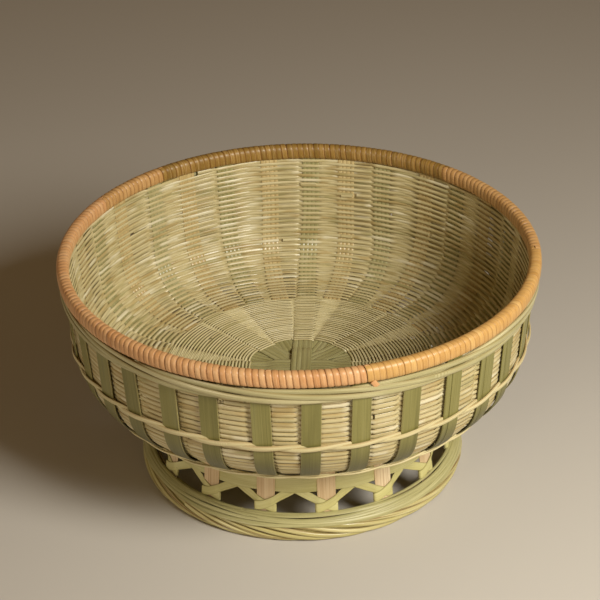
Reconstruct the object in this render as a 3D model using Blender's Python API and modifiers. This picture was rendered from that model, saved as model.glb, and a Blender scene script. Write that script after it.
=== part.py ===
"""Bamboo bread basket on an openwork foot, as separate pieces.

Sixteen spokes made by eight crossed splints start in the middle of the floor,
run out under the weave and climb the wall.  Sixteen more stakes join them part
of the way out.  Wefts go round both, and are drawn here as the layer that lies
inside the stakes and the layer that lies outside them.  Flat outer stakes cover
every second gap, held by a top band, a middle band and a lower band.  The rim
is two hoops clamped on the stakes and wound with cane.  The foot is a ring of
uprights crossed by slanting strips, a hoop, and a thick border that stands on
the table.

Units are metres and +Z is up.  The origin is the middle of the foot's
underside.  An angle of zero looks towards -Y, and angles grow towards +X.
"""

import math

import bmesh
import bpy
from mathutils import Vector

# Whole basket
BASKET_HEIGHT = 0.1302
RIM_OUTER_RADIUS = 0.130
TOUCH_GAP = 0.0003

# Rim
RIM_WIDTH = 0.0070
RIM_HEIGHT = 0.0092
BINDING_THICKNESS = 0.0007
HOOP_THICKNESS = 0.0010
HOOP_HEIGHT = 0.0044
RIM_SQUARE_SHARE = 0.5
RIM_OPENING_TURN = math.radians(50)

# Bowl, measured on the middle plane of the woven stakes
FLOOR_HEIGHT = 0.0535
CORNER_REACH = 0.0310
CORNER_RISE = 0.0300
WALL_FLARE_SHARE = 0.085

# Woven stakes and the wefts round them
SPOKE_COUNT = 16
SPLINT_WIDTH = 0.0100
SPLINT_THICKNESS = 0.0005
WEFT_THICKNESS = 0.0009
ADDED_STAKE_INSET = 0.0140
OUTER_STAKE_WIDTH = 0.0098
OUTER_STAKE_THICKNESS = 0.0007
OUTER_STAKE_UNDERLAP = 0.0080

# Bands round the outer stakes
TOP_STRAND_HEIGHT = 0.0040
TOP_STRAND_DEPTH = 0.0020
MID_BAND_HEIGHT = 0.0838
MID_STRAND_SIZE = 0.0016
LOW_BAND_HEIGHT = 0.0024
LOW_BAND_DEPTH = 0.0012
LOW_BAND_TURN_SHARE = 0.42

# Foot
FOOT_TOP_INSET = 0.0115
FOOT_SPLAY = 0.0043
UPRIGHT_WIDTH = 0.0100
UPRIGHT_THICKNESS = 0.0008
UPRIGHT_CLEARANCE = 0.0010
FOOT_HOOP_BASE = 0.0265
FOOT_HOOP_HEIGHT = 0.0060
FOOT_HOOP_THICKNESS = 0.0007
TRELLIS_CROSS_HEIGHT = 0.0192
TRELLIS_PEAK_HEIGHT = 0.0290
TRELLIS_WIDTH = 0.0053
TRELLIS_THICKNESS = 0.0005
BORDER_STRAND_HEIGHT = 0.0035
BORDER_STRAND_DEPTH = 0.0044
RING_STRIP_HEIGHT = 0.0025
RING_STRIP_THICKNESS = 0.0008
INNER_BAND_HEIGHT = 0.0120
INNER_BAND_THICKNESS = 0.0010

# How finely round shapes are drawn
WEAVE_STEPS = 64
RING_STEPS = 48
CORNER_STEPS = 5
TRELLIS_STEPS_PER_GAP = 3
STRAND_SIDES = 6
RIM_SIDES = 10
SURFACE_TRIES = 6
PAIR = ("lower", "upper")
TRIPLE = ("lower", "middle", "upper")
MERGE_DISTANCE = 0.00001

# Places that follow from the sizes above
SPOKE_PITCH = 2 * math.pi / SPOKE_COUNT
STAKE_PITCH = SPOKE_PITCH / 2
FIRST_OUTER_STAKE = STAKE_PITCH / 4
FIRST_SPOKE = FIRST_OUTER_STAKE - STAKE_PITCH / 2
FIRST_ADDED_STAKE = FIRST_SPOKE + STAKE_PITCH
RIM_CENTRE_HEIGHT = BASKET_HEIGHT - RIM_HEIGHT / 2
RIM_BASE_HEIGHT = BASKET_HEIGHT - RIM_HEIGHT
STAKE_TOP_HEIGHT = BASKET_HEIGHT - BINDING_THICKNESS - 3 * TOUCH_GAP

# Colours, as linear red, green and blue
STRAW = (0.58, 0.46, 0.24)
PALE_STRAW = (0.68, 0.57, 0.33)
GREEN_SKIN = (0.30, 0.32, 0.14)
PALE_GREEN = (0.56, 0.55, 0.27)
PINK_TAN = (0.60, 0.41, 0.26)
AMBER_CANE = (0.62, 0.34, 0.14)


def chord_reach(radius, steps):
    """Radius of a polygon's corners when its flats must lie at this radius."""
    return radius / math.cos(math.pi / steps)


def strip_corner_radius(radius, width):
    """Radius of the edges of a flat strip whose middle lies at this radius."""
    return math.hypot(radius, width / 2)


def corner_end_angle():
    """Turn of the bowl's corner at which it runs on into the flared wall."""
    return math.atan2(CORNER_REACH, CORNER_RISE * WALL_FLARE_SHARE)


def rim_stack_inside():
    """Thickness of what lies between the rim's inner face and the woven stakes."""
    return BINDING_THICKNESS + HOOP_THICKNESS + 2 * TOUCH_GAP + SPLINT_THICKNESS / 2


def wall_top_radius():
    """Radius of the stakes' middle plane at the middle of the rim."""
    return RIM_OUTER_RADIUS - RIM_WIDTH + rim_stack_inside()


def floor_radius():
    """Radius at which the flat floor starts to turn up."""
    turn = corner_end_angle()
    corner_top = FLOOR_HEIGHT + CORNER_RISE * (1 - math.cos(turn))
    wall_foot = wall_top_radius() - WALL_FLARE_SHARE * (RIM_CENTRE_HEIGHT - corner_top)
    return wall_foot - CORNER_REACH * math.sin(turn)


def added_stake_radius():
    """Radius at which the added stakes start, in from the floor's edge."""
    return floor_radius() - ADDED_STAKE_INSET


def floor_station(radius):
    """Point of the stakes' middle plane on the floor, with its outward normal."""
    return (radius, FLOOR_HEIGHT, 0.0, -1.0)


def corner_station(turn):
    """Point of the middle plane in the corner, with its outward normal."""
    radius = floor_radius() + CORNER_REACH * math.sin(turn)
    height = FLOOR_HEIGHT + CORNER_RISE * (1 - math.cos(turn))
    normal = Vector((CORNER_RISE * math.sin(turn), -CORNER_REACH * math.cos(turn))).normalized()
    return (radius, height, normal.x, normal.y)


def wall_station(height):
    """Point of the middle plane on the flared wall, with its outward normal."""
    radius = wall_top_radius() + WALL_FLARE_SHARE * (height - RIM_CENTRE_HEIGHT)
    normal = Vector((1.0, -WALL_FLARE_SHARE)).normalized()
    return (radius, height, normal.x, normal.y)


def bowl_station(height):
    """Point of the middle plane at a height, in the corner or on the wall."""
    rise = (height - FLOOR_HEIGHT) / CORNER_RISE
    if rise < 1 - math.cos(corner_end_angle()):
        return corner_station(math.acos(1 - max(rise, 0.0)))
    return wall_station(height)


def corner_stations(first_share=0.0):
    """Stations round the corner, from a share of its turn to its end."""
    turn = corner_end_angle()
    stations = []
    for step in range(CORNER_STEPS + 1):
        share = step / CORNER_STEPS
        if share >= first_share:
            stations.append(corner_station(turn * share))
    return stations


def offset_points(stations, offset):
    """Radius and height of each station, moved along its outward normal."""
    return [(r + offset * nr, z + offset * nz) for r, z, nr, nz in stations]


def inner_face():
    """Offset of the face of the inner wefts that touches the stakes."""
    return -(SPLINT_THICKNESS / 2 + TOUCH_GAP)


def outer_face():
    """Offset of the face of the outer wefts that touches the stakes."""
    flat_allowance = chord_reach(RIM_OUTER_RADIUS, WEAVE_STEPS) - RIM_OUTER_RADIUS
    return SPLINT_THICKNESS / 2 + TOUCH_GAP + flat_allowance


def outer_stake_offset():
    """Offset of the middle plane of the outer stakes where they cover the weave."""
    return outer_face() + WEFT_THICKNESS + TOUCH_GAP + OUTER_STAKE_THICKNESS / 2


def outer_stake_rim_offset():
    """Offset of the outer stakes' middle plane where the rim clamps them."""
    return SPLINT_THICKNESS / 2 + TOUCH_GAP + OUTER_STAKE_THICKNESS / 2


def top_band_height():
    """Height of the top band over all its strands."""
    return len(PAIR) * (TOP_STRAND_HEIGHT + TOUCH_GAP)


def top_band_base():
    """Height above the table of the top band's lower edge."""
    return RIM_BASE_HEIGHT - TOUCH_GAP - top_band_height()


def outer_stake_wall_offset(height):
    """Offset of the outer stakes at a height on the wall, drawn in to the rim."""
    rise = (height - top_band_base()) / top_band_height()
    share = min(max(rise, 0.0), 1.0)
    return outer_stake_offset() * (1 - share) + outer_stake_rim_offset() * share


def foot_top_height():
    """Height of the top of the foot, just under the woven floor."""
    return FLOOR_HEIGHT - outer_face() - WEFT_THICKNESS - TOUCH_GAP


def border_height():
    """Height of the thick border over all its strands."""
    return len(TRIPLE) * (BORDER_STRAND_HEIGHT + TOUCH_GAP)


def foot_top_radius():
    """Radius of the uprights' middle plane at the top, in from the floor's edge."""
    return floor_radius() - FOOT_TOP_INSET


def foot_ring_radius():
    """Radius of the uprights' middle plane at the top of the border."""
    return foot_top_radius() + FOOT_SPLAY


def foot_radius(height):
    """Radius of the uprights' middle plane at a height."""
    fall = (foot_top_height() - height) / (foot_top_height() - border_height())
    return foot_top_radius() + FOOT_SPLAY * fall


def widest_foot_radius(low, high):
    """Largest radius of the uprights' middle plane between two heights."""
    return max(foot_radius(low), foot_radius(high))


def direction(angle):
    """Unit vector from the basket's axis towards an angle."""
    return Vector((math.sin(angle), -math.cos(angle), 0.0))


def tangent(angle):
    """Unit vector round the basket at an angle."""
    return Vector((math.cos(angle), math.sin(angle), 0.0))


def clear_scene():
    """Remove every object of the open scene."""
    for old in list(bpy.data.objects):
        bpy.data.objects.remove(old, do_unlink=True)


def make_collection(name):
    """New collection, linked to the scene."""
    collection = bpy.data.collections.new(name)
    bpy.context.scene.collection.children.link(collection)
    return collection


def make_material(name, colour, roughness):
    """Principled material of one plain colour."""
    material = bpy.data.materials.new(name)
    material.use_nodes = True
    shader = material.node_tree.nodes["Principled BSDF"]
    shader.inputs["Base Color"].default_value = (*colour, 1.0)
    shader.inputs["Roughness"].default_value = roughness
    shader.inputs["Metallic"].default_value = 0.0
    return material


def add_object(name, mesh, material, collection):
    """Object of a mesh, with its material, in the basket's collection."""
    mesh.materials.append(material)
    made = bpy.data.objects.new(name, mesh)
    collection.objects.link(made)
    return made


def add_union(made, other):
    """Join another object's shape to this one, and keep that object as a guide."""
    modifier = made.modifiers.new("join", "BOOLEAN")
    modifier.operation = "UNION"
    modifier.solver = "EXACT"
    modifier.object = other
    other.hide_render = True
    other.display_type = "WIRE"
    return modifier


def add_solidify(made, thickness):
    """Give an open surface a thickness, half on each side of it."""
    modifier = made.modifiers.new("thickness", "SOLIDIFY")
    modifier.thickness = thickness
    modifier.offset = 0.0
    modifier.use_even_offset = True
    return modifier


def add_screw(made, steps):
    """Turn a profile once round the basket's axis."""
    modifier = made.modifiers.new("turn", "SCREW")
    modifier.axis = "Z"
    modifier.angle = 2 * math.pi
    modifier.steps = steps
    modifier.render_steps = steps
    modifier.use_merge_vertices = True
    modifier.merge_threshold = MERGE_DISTANCE
    modifier.use_smooth_shade = True
    return modifier


def profile_mesh(name, outline, closed):
    """Mesh of an outline of radius and height, as edges only."""
    points = [(radius, 0.0, height) for radius, height in outline]
    last = len(points) - 1
    edges = [(index, index + 1) for index in range(last)]
    if closed:
        edges.append((last, 0))
    mesh = bpy.data.meshes.new(name)
    mesh.from_pydata(points, edges, [])
    return mesh


def turned_shell(name, outline, thickness, steps, material, collection):
    """Thin shell turned round the axis from an open outline."""
    mesh = profile_mesh(name, outline, closed=False)
    made = add_object(name, mesh, material, collection)
    add_screw(made, steps)
    add_solidify(made, thickness)
    return made


def turned_ring(name, outline, steps, material, collection):
    """Solid ring turned round the axis from a closed outline."""
    mesh = profile_mesh(name, outline, closed=True)
    made = add_object(name, mesh, material, collection)
    add_screw(made, steps)
    return made


def oval_outline(radius, height, depth, tall, sides):
    """Closed oval section with a flat underside, run down its outer side."""
    flat = math.cos(math.pi / sides)
    outline = []
    for side in range(sides):
        turn = math.pi / 2 - math.pi / sides - side * 2 * math.pi / sides
        across = depth / 2 * math.cos(turn)
        up = tall / 2 * math.sin(turn) / flat
        outline.append((radius + across, height + up))
    return outline


def strip_grid(bm, sections):
    """Add one flat strip through pairs of edge points to a bmesh."""
    count = len(sections) - 1
    grid = bmesh.ops.create_grid(bm, x_segments=count, y_segments=1, size=1.0)
    for vertex in grid["verts"]:
        index = round((vertex.co.x + 1) / 2 * count)
        side = 0 if vertex.co.y < 0 else 1
        vertex.co = sections[index][side]


def strips(name, section_lists, thickness, material, collection):
    """Flat strips of one thickness, as separate bodies of one object."""
    bm = bmesh.new()
    for sections in section_lists:
        strip_grid(bm, sections)
    mesh = bpy.data.meshes.new(name)
    bm.to_mesh(mesh)
    bm.free()
    made = add_object(name, mesh, material, collection)
    add_solidify(made, thickness)
    return made


def meridian_sections(points, angle, width):
    """Edge points of a strip that follows radius and height at one angle."""
    out = direction(angle)
    side = tangent(angle) * (width / 2)
    sections = []
    for radius, height in points:
        middle = out * radius + Vector((0.0, 0.0, height))
        sections.append((middle - side, middle + side))
    return sections


def splint_overlap_radius(step_count):
    """Radius out to which two splints, this many spokes apart, lie on each other."""
    return SPLINT_WIDTH / 2 / math.sin(step_count * SPOKE_PITCH / 2)


def splint_layer(index):
    """Place of a splint in the stack at the middle, counted up from its centre.

    Even splints lie over odd ones, so that further out, where only neighbours
    still overlap, two levels are enough.
    """
    order = (3, 0, 2, 1)[(index // 2) % 4]
    return order + 0.5 if index % 2 == 0 else -order - 0.5


def splint_half(index):
    """Radius and height along one half of a splint, from the middle to the rim."""
    pitch = SPLINT_THICKNESS + TOUCH_GAP
    level = splint_layer(index)
    near = math.copysign(0.5, level)
    stacked = splint_overlap_radius(2) + SPLINT_THICKNESS
    paired = splint_overlap_radius(1) + SPLINT_THICKNESS
    spread = (stacked + 2 * paired) / 3
    points = [(stacked, FLOOR_HEIGHT + level * pitch)]
    points.append((spread, FLOOR_HEIGHT + near * pitch))
    points.append((paired, FLOOR_HEIGHT + near * pitch))
    stations = [floor_station(paired + 2 * pitch)]
    stations += corner_stations()
    stations.append(wall_station(STAKE_TOP_HEIGHT))
    return points + offset_points(stations, 0.0)


def build_base_splints(material, collection):
    """Eight splints, each a spoke on both sides of the floor and two wall stakes."""
    for index in range(SPOKE_COUNT // 2):
        half = splint_half(index)
        mirrored = [(-radius, height) for radius, height in reversed(half)]
        angle = FIRST_SPOKE + index * SPOKE_PITCH
        sections = meridian_sections(mirrored + half, angle, SPLINT_WIDTH)
        name = f"base_splint_{index + 1}"
        strips(name, [sections], SPLINT_THICKNESS, material, collection)


def build_added_stakes(material, collection):
    """Sixteen stakes that start between the spokes and climb the wall."""
    stations = [floor_station(added_stake_radius())]
    stations += corner_stations()
    stations.append(wall_station(STAKE_TOP_HEIGHT))
    points = offset_points(stations, 0.0)
    for index in range(SPOKE_COUNT):
        angle = FIRST_ADDED_STAKE + index * SPOKE_PITCH
        sections = meridian_sections(points, angle, SPLINT_WIDTH)
        name = f"added_stake_{index + 1}"
        strips(name, [sections], SPLINT_THICKNESS, material, collection)


def weave_inner_radius():
    """Radius at which the first weft goes round the sixteen spokes."""
    pitch = SPLINT_THICKNESS + TOUCH_GAP
    return splint_overlap_radius(1) + SPLINT_THICKNESS + 3 * pitch


def build_floor_weave(material, collection):
    """Fine wefts of the floor, as the layer over the spokes and the one under."""
    outer = added_stake_radius() - TOUCH_GAP
    stations = [floor_station(weave_inner_radius()), floor_station(outer)]
    upper = offset_points(stations, inner_face() - WEFT_THICKNESS / 2)
    lower = offset_points(stations, outer_face() + WEFT_THICKNESS / 2)
    turned_shell("floor_weave_upper", upper, WEFT_THICKNESS, WEAVE_STEPS, material, collection)
    turned_shell("floor_weave_lower", lower, WEFT_THICKNESS, WEAVE_STEPS, material, collection)


def build_wall_weave(material, collection):
    """Coarser wefts of the floor's edge and the wall, inside and outside."""
    stations = [floor_station(added_stake_radius())]
    stations += corner_stations()
    inner_top = RIM_BASE_HEIGHT - TOUCH_GAP
    outer_top = top_band_base() - TOUCH_GAP
    inner = offset_points(stations + [wall_station(inner_top)], inner_face() - WEFT_THICKNESS / 2)
    outer = offset_points(stations + [wall_station(outer_top)], outer_face() + WEFT_THICKNESS / 2)
    turned_shell("wall_weave_inner", inner, WEFT_THICKNESS, WEAVE_STEPS, material, collection)
    turned_shell("wall_weave_outer", outer, WEFT_THICKNESS, WEAVE_STEPS, material, collection)


def outer_stake_points():
    """Radius and height along an outer stake, from under the floor to the rim."""
    reached = OUTER_STAKE_UNDERLAP / CORNER_REACH
    first_share = math.asin(min(max(reached, 0.0), 1.0)) / corner_end_angle()
    stations = [corner_station(corner_end_angle() * first_share)]
    stations += corner_stations(first_share + 1 / CORNER_STEPS / 2)
    points = offset_points(stations, outer_stake_offset())
    heights = [top_band_base(), RIM_BASE_HEIGHT - TOUCH_GAP, STAKE_TOP_HEIGHT]
    for height in heights:
        points += offset_points([wall_station(height)], outer_stake_wall_offset(height))
    return points


def build_outer_stakes(material, collection, guides):
    """Thirty-two flat outer stakes, joined by the hoop that clamps their tops."""
    points = outer_stake_points()
    lists = []
    for index in range(2 * SPOKE_COUNT):
        angle = FIRST_OUTER_STAKE + index * STAKE_PITCH
        lists.append(meridian_sections(points, angle, OUTER_STAKE_WIDTH))
    guide = strips("outer_stake_strips", lists, OUTER_STAKE_THICKNESS, material, guides)
    hoop = hoop_outline(rim_outer_hoop_radius())
    made = turned_shell("outer_stakes", hoop, HOOP_THICKNESS, WEAVE_STEPS, material, collection)
    add_union(made, guide)


def outer_surface_radius(height):
    """Radius of the outer stakes' edges at a height on the bowl."""
    offset = outer_stake_wall_offset(height) + OUTER_STAKE_THICKNESS / 2
    station = bowl_station(height)
    for _ in range(SURFACE_TRIES):
        station = bowl_station(height - offset * station[3])
    radius, _ = offset_points([station], offset)[0]
    return strip_corner_radius(radius, OUTER_STAKE_WIDTH)


def band_radius(height, tall, depth):
    """Radius of the middle of a strand that lies on the outer stakes."""
    low = outer_surface_radius(height - tall / 2)
    high = outer_surface_radius(height + tall / 2)
    return chord_reach(max(low, high) + TOUCH_GAP, RING_STEPS) + depth / 2


def build_top_band(material, collection):
    """Two strands that run round the outer stakes just under the rim."""
    for index, place in enumerate(PAIR):
        step = TOP_STRAND_HEIGHT + TOUCH_GAP
        height = top_band_base() + step / 2 + index * step
        radius = band_radius(height, TOP_STRAND_HEIGHT, TOP_STRAND_DEPTH)
        outline = oval_outline(radius, height, TOP_STRAND_DEPTH, TOP_STRAND_HEIGHT, STRAND_SIDES)
        turned_ring(f"top_band_{place}", outline, RING_STEPS, material, collection)


def build_mid_band(material, collection):
    """Pair of strands that ties the outer stakes half way down the wall."""
    for index, place in enumerate(PAIR):
        lift = (index - 1 / 2) * (MID_STRAND_SIZE + TOUCH_GAP)
        height = MID_BAND_HEIGHT + lift
        radius = band_radius(MID_BAND_HEIGHT, len(PAIR) * MID_STRAND_SIZE, MID_STRAND_SIZE)
        outline = oval_outline(radius, height, MID_STRAND_SIZE, MID_STRAND_SIZE, STRAND_SIDES)
        turned_ring(f"mid_band_{place}", outline, RING_STEPS, material, collection)


def build_low_band(material, collection):
    """Thin band that ties the outer stakes where the bowl turns under."""
    turn = corner_end_angle() * LOW_BAND_TURN_SHARE
    radius, height, normal_out, normal_up = corner_station(turn)
    face = outer_stake_offset() + OUTER_STAKE_THICKNESS / 2
    edge = strip_corner_radius(radius, OUTER_STAKE_WIDTH) - radius
    flat = chord_reach(radius, RING_STEPS) - radius
    lift = face + edge + flat + TOUCH_GAP
    outline = []
    for across, along in ((1, 1 / 2), (1, -1 / 2), (0, -1), (0, 1)):
        out = lift + across * LOW_BAND_DEPTH
        up = along * LOW_BAND_HEIGHT / 2
        outline.append(
            (radius + normal_out * out - normal_up * up, height + normal_up * out + normal_out * up)
        )
    turned_ring("low_band", outline, RING_STEPS, material, collection)


def rim_inner_hoop_radius():
    """Radius of the middle of the hoop inside the wall."""
    offset = SPLINT_THICKNESS / 2 + TOUCH_GAP + HOOP_THICKNESS / 2
    return wall_top_radius() - offset


def rim_outer_hoop_radius():
    """Radius of the middle of the hoop outside the wall, pressed on the outer stakes."""
    stake_middle = wall_top_radius() + outer_stake_rim_offset()
    return chord_reach(stake_middle, WEAVE_STEPS) + HOOP_THICKNESS / 2


def hoop_outline(radius):
    """Open outline of a rim hoop, which leans with the wall."""
    lean = WALL_FLARE_SHARE * HOOP_HEIGHT / 2
    top = RIM_CENTRE_HEIGHT + HOOP_HEIGHT / 2
    base = RIM_CENTRE_HEIGHT - HOOP_HEIGHT / 2
    return [(radius + lean, top), (radius - lean, base)]


def binding_outline():
    """Closed section of the cane winding, open below where the stakes enter."""
    middle = RIM_OUTER_RADIUS - RIM_WIDTH / 2
    first = -math.pi / 2 + RIM_OPENING_TURN
    span = 2 * math.pi - 2 * RIM_OPENING_TURN
    outer = []
    inner = []
    for step in range(RIM_SIDES + 1):
        turn = first + span * step / RIM_SIDES
        across = math.copysign(abs(math.cos(turn)) ** RIM_SQUARE_SHARE, math.cos(turn))
        up = math.copysign(abs(math.sin(turn)) ** RIM_SQUARE_SHARE, math.sin(turn))
        outer.append((middle + across * RIM_WIDTH / 2, RIM_CENTRE_HEIGHT + up * RIM_HEIGHT / 2))
        inner_width = RIM_WIDTH / 2 - BINDING_THICKNESS
        inner_height = RIM_HEIGHT / 2 - BINDING_THICKNESS
        inner.append((middle + across * inner_width, RIM_CENTRE_HEIGHT + up * inner_height))
    return list(reversed(outer)) + inner


def build_rim(hoop_material, cane_material, collection):
    """Inner hoop that clamps the stakes with the outer one, and the cane wound round both."""
    inner = hoop_outline(rim_inner_hoop_radius())
    turned_shell("rim_inner_hoop", inner, HOOP_THICKNESS, WEAVE_STEPS, hoop_material, collection)
    turned_ring("rim_binding", binding_outline(), WEAVE_STEPS, cane_material, collection)


def build_uprights(material, collection):
    """Sixteen uprights of the foot, below the added stakes."""
    top = foot_top_height()
    base = UPRIGHT_CLEARANCE
    points = [(foot_radius(base), base), (foot_radius(top), top)]
    for index in range(SPOKE_COUNT):
        angle = FIRST_ADDED_STAKE + index * SPOKE_PITCH
        sections = meridian_sections(points, angle, UPRIGHT_WIDTH)
        name = f"foot_upright_{index + 1}"
        strips(name, [sections], UPRIGHT_THICKNESS, material, collection)


def build_foot_hoop(material, collection):
    """Flat hoop that runs round behind the uprights."""
    offset = -(UPRIGHT_THICKNESS + FOOT_HOOP_THICKNESS) / 2 - TOUCH_GAP
    top = FOOT_HOOP_BASE + FOOT_HOOP_HEIGHT
    outline = [
        (foot_radius(top) + offset, top),
        (foot_radius(FOOT_HOOP_BASE) + offset, FOOT_HOOP_BASE),
    ]
    turned_shell("foot_hoop", outline, FOOT_HOOP_THICKNESS, WEAVE_STEPS, material, collection)


def trellis_offset(layer):
    """Offset from the uprights' middle plane of a layer of slanting strips.

    The second layer is pressed half way into the first, so that they join.
    """
    ring = foot_ring_radius()
    edge = strip_corner_radius(ring, UPRIGHT_WIDTH) - ring
    first = UPRIGHT_THICKNESS / 2 + edge + TOUCH_GAP + TRELLIS_THICKNESS / 2
    flat = chord_reach(ring, TRELLIS_STEPS_PER_GAP * SPOKE_COUNT) - ring
    return first + flat + layer * TRELLIS_THICKNESS / 2


def trellis_sections(angle, side, layer):
    """Edge points of one slanting strip, from its own upright up to the floor."""
    half_gap = STAKE_PITCH
    rise = TRELLIS_PEAK_HEIGHT - TRELLIS_CROSS_HEIGHT
    run = foot_ring_radius() * half_gap
    half_height = TRELLIS_WIDTH / 2 * math.hypot(1.0, rise / run)
    first = -(UPRIGHT_WIDTH / 2 + TRELLIS_THICKNESS) / run
    last = (foot_top_height() - half_height - TRELLIS_CROSS_HEIGHT) / rise
    step_count = math.ceil((last - first) * TRELLIS_STEPS_PER_GAP / 2)
    offset = trellis_offset(layer)
    sections = []
    for step in range(step_count + 1):
        share = first + (last - first) * step / step_count
        height = TRELLIS_CROSS_HEIGHT + rise * share
        out = direction(angle + side * share * half_gap)
        pair = []
        for edge in (height - half_height, height + half_height):
            pair.append(out * (foot_radius(edge) + offset) + Vector((0.0, 0.0, edge)))
        sections.append(tuple(pair))
    return sections


def trellis_strips(name, side, layer, material, collection):
    """All slanting strips of one layer, which lean the same way."""
    lists = []
    for index in range(SPOKE_COUNT):
        angle = FIRST_ADDED_STAKE + index * SPOKE_PITCH
        lists.append(trellis_sections(angle, side, layer))
    return strips(name, lists, TRELLIS_THICKNESS, material, collection)


def build_trellis(material, collection, guides):
    """Slanting strips that cross on the uprights and between them, as one lattice."""
    left_strips = trellis_strips("trellis_left_strips", -1, 1, material, guides)
    made = trellis_strips("foot_trellis", 1, 0, material, collection)
    add_union(made, left_strips)


def border_radius():
    """Radius of the middle of the thick border strands, outside the uprights."""
    widest = widest_foot_radius(0.0, border_height())
    face = strip_corner_radius(widest + UPRIGHT_THICKNESS / 2, UPRIGHT_WIDTH)
    return chord_reach(face + TOUCH_GAP, RING_STEPS) + BORDER_STRAND_DEPTH / 2


def build_foot_border(material, collection):
    """Thick strands of the border, the lowest of which stands on the table."""
    depth = BORDER_STRAND_DEPTH
    tall = BORDER_STRAND_HEIGHT
    for index, place in enumerate(TRIPLE):
        height = tall / 2 + index * (tall + TOUCH_GAP)
        outline = oval_outline(border_radius(), height, depth, tall, STRAND_SIDES)
        turned_ring(f"foot_border_{place}", outline, RING_STEPS, material, collection)


def build_ring_strips(material, collection):
    """Flat strips laid round the foot above the border."""
    outer_layer = trellis_offset(1) + TRELLIS_THICKNESS / 2
    thickness = RING_STRIP_THICKNESS
    for index, place in enumerate(PAIR):
        base = border_height() + index * (RING_STRIP_HEIGHT + TOUCH_GAP)
        top = base + RING_STRIP_HEIGHT
        widest = widest_foot_radius(base, top)
        face = chord_reach(widest + outer_layer + TOUCH_GAP, RING_STEPS)
        outline = [(face + thickness / 2, top), (face + thickness / 2, base)]
        name = f"foot_ring_strip_{place}"
        turned_shell(name, outline, thickness, RING_STEPS, material, collection)


def build_inner_band(material, collection):
    """Flat band inside the uprights, behind the border."""
    offset = -(UPRIGHT_THICKNESS + INNER_BAND_THICKNESS) / 2 - TOUCH_GAP
    base = UPRIGHT_CLEARANCE
    top = base + INNER_BAND_HEIGHT
    outline = [(foot_radius(top) + offset, top), (foot_radius(base) + offset, base)]
    thickness = INNER_BAND_THICKNESS
    turned_shell("foot_inner_band", outline, thickness, RING_STEPS, material, collection)


def main():
    """Build every piece of the basket."""
    clear_scene()
    collection = make_collection("bamboo_bread_basket")
    guides = make_collection("joined_strips")
    straw = make_material("straw bamboo", STRAW, 0.55)
    pale_straw = make_material("pale straw bamboo", PALE_STRAW, 0.5)
    green = make_material("green bamboo skin", GREEN_SKIN, 0.42)
    pale_green = make_material("pale green bamboo", PALE_GREEN, 0.45)
    pink = make_material("pink tan bamboo", PINK_TAN, 0.6)
    cane = make_material("amber cane", AMBER_CANE, 0.4)
    build_base_splints(green, collection)
    build_added_stakes(straw, collection)
    build_floor_weave(straw, collection)
    build_wall_weave(pale_straw, collection)
    build_outer_stakes(green, collection, guides)
    build_top_band(pale_green, collection)
    build_mid_band(pale_straw, collection)
    build_low_band(pale_straw, collection)
    build_rim(straw, cane, collection)
    build_uprights(pink, collection)
    build_foot_hoop(pale_green, collection)
    build_trellis(pale_green, collection, guides)
    build_foot_border(pale_green, collection)
    build_ring_strips(pale_green, collection)
    build_inner_band(straw, collection)


main()
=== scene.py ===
"""Bamboo bread basket on an openwork foot, dressed for rendering.

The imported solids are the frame.  Every strip, weft, strand and turn of cane is
built here as its own swept strand, along the same sections as the solids, and
stands in for the plain solid of that piece.

Lengths are metres and +Z is up.  An angle of zero looks towards -Y, the front
of the basket, and angles grow towards +X.
"""
import logging
import math
from dataclasses import dataclass
from enum import Enum
from typing import Iterator, Optional

import bpy
import numpy as np
from mathutils import Euler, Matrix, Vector


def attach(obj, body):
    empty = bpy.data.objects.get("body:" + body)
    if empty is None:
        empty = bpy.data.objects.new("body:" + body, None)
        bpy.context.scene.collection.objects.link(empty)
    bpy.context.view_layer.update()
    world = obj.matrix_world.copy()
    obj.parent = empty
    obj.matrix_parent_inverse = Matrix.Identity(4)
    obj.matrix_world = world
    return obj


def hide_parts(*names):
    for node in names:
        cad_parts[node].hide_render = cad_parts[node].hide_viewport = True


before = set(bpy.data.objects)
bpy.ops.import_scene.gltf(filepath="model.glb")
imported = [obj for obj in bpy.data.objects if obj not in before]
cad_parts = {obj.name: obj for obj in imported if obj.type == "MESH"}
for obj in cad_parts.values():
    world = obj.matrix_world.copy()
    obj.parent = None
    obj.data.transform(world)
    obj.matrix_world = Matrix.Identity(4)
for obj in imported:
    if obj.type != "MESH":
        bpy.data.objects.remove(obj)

LOG = logging.getLogger("bread_basket")

MM = 0.001
TURN = 2 * math.pi
UP = np.array([0.0, 0.0, 1.0])
BODY = "root"
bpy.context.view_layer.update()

Pair = tuple[float, float]
Placed = tuple[np.ndarray, np.ndarray, np.ndarray]
Tree = bpy.types.NodeTree
Socket = bpy.types.NodeSocket
Material = bpy.types.Material
Piece = bpy.types.Object


def directions(angles: np.ndarray) -> np.ndarray:
    """Unit vectors away from the basket's axis, one for each angle round it."""
    return np.stack([np.sin(angles), -np.cos(angles), np.zeros_like(angles)], axis=-1)


def tangents(angles: np.ndarray) -> np.ndarray:
    """Unit vectors round the basket, one for each angle round it."""
    return np.stack([np.cos(angles), np.sin(angles), np.zeros_like(angles)], axis=-1)


def unit(vectors: np.ndarray) -> np.ndarray:
    """The same vectors with a length of one."""
    return vectors / np.linalg.norm(vectors, axis=-1, keepdims=True)


def eased(value: np.ndarray, low: float, high: float) -> np.ndarray:
    """Smooth step, which is zero up to the low value and one from the high value on."""
    share = np.clip((value - low) / (high - low), 0.0, 1.0)
    return share * share * (3 - 2 * share)


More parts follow.
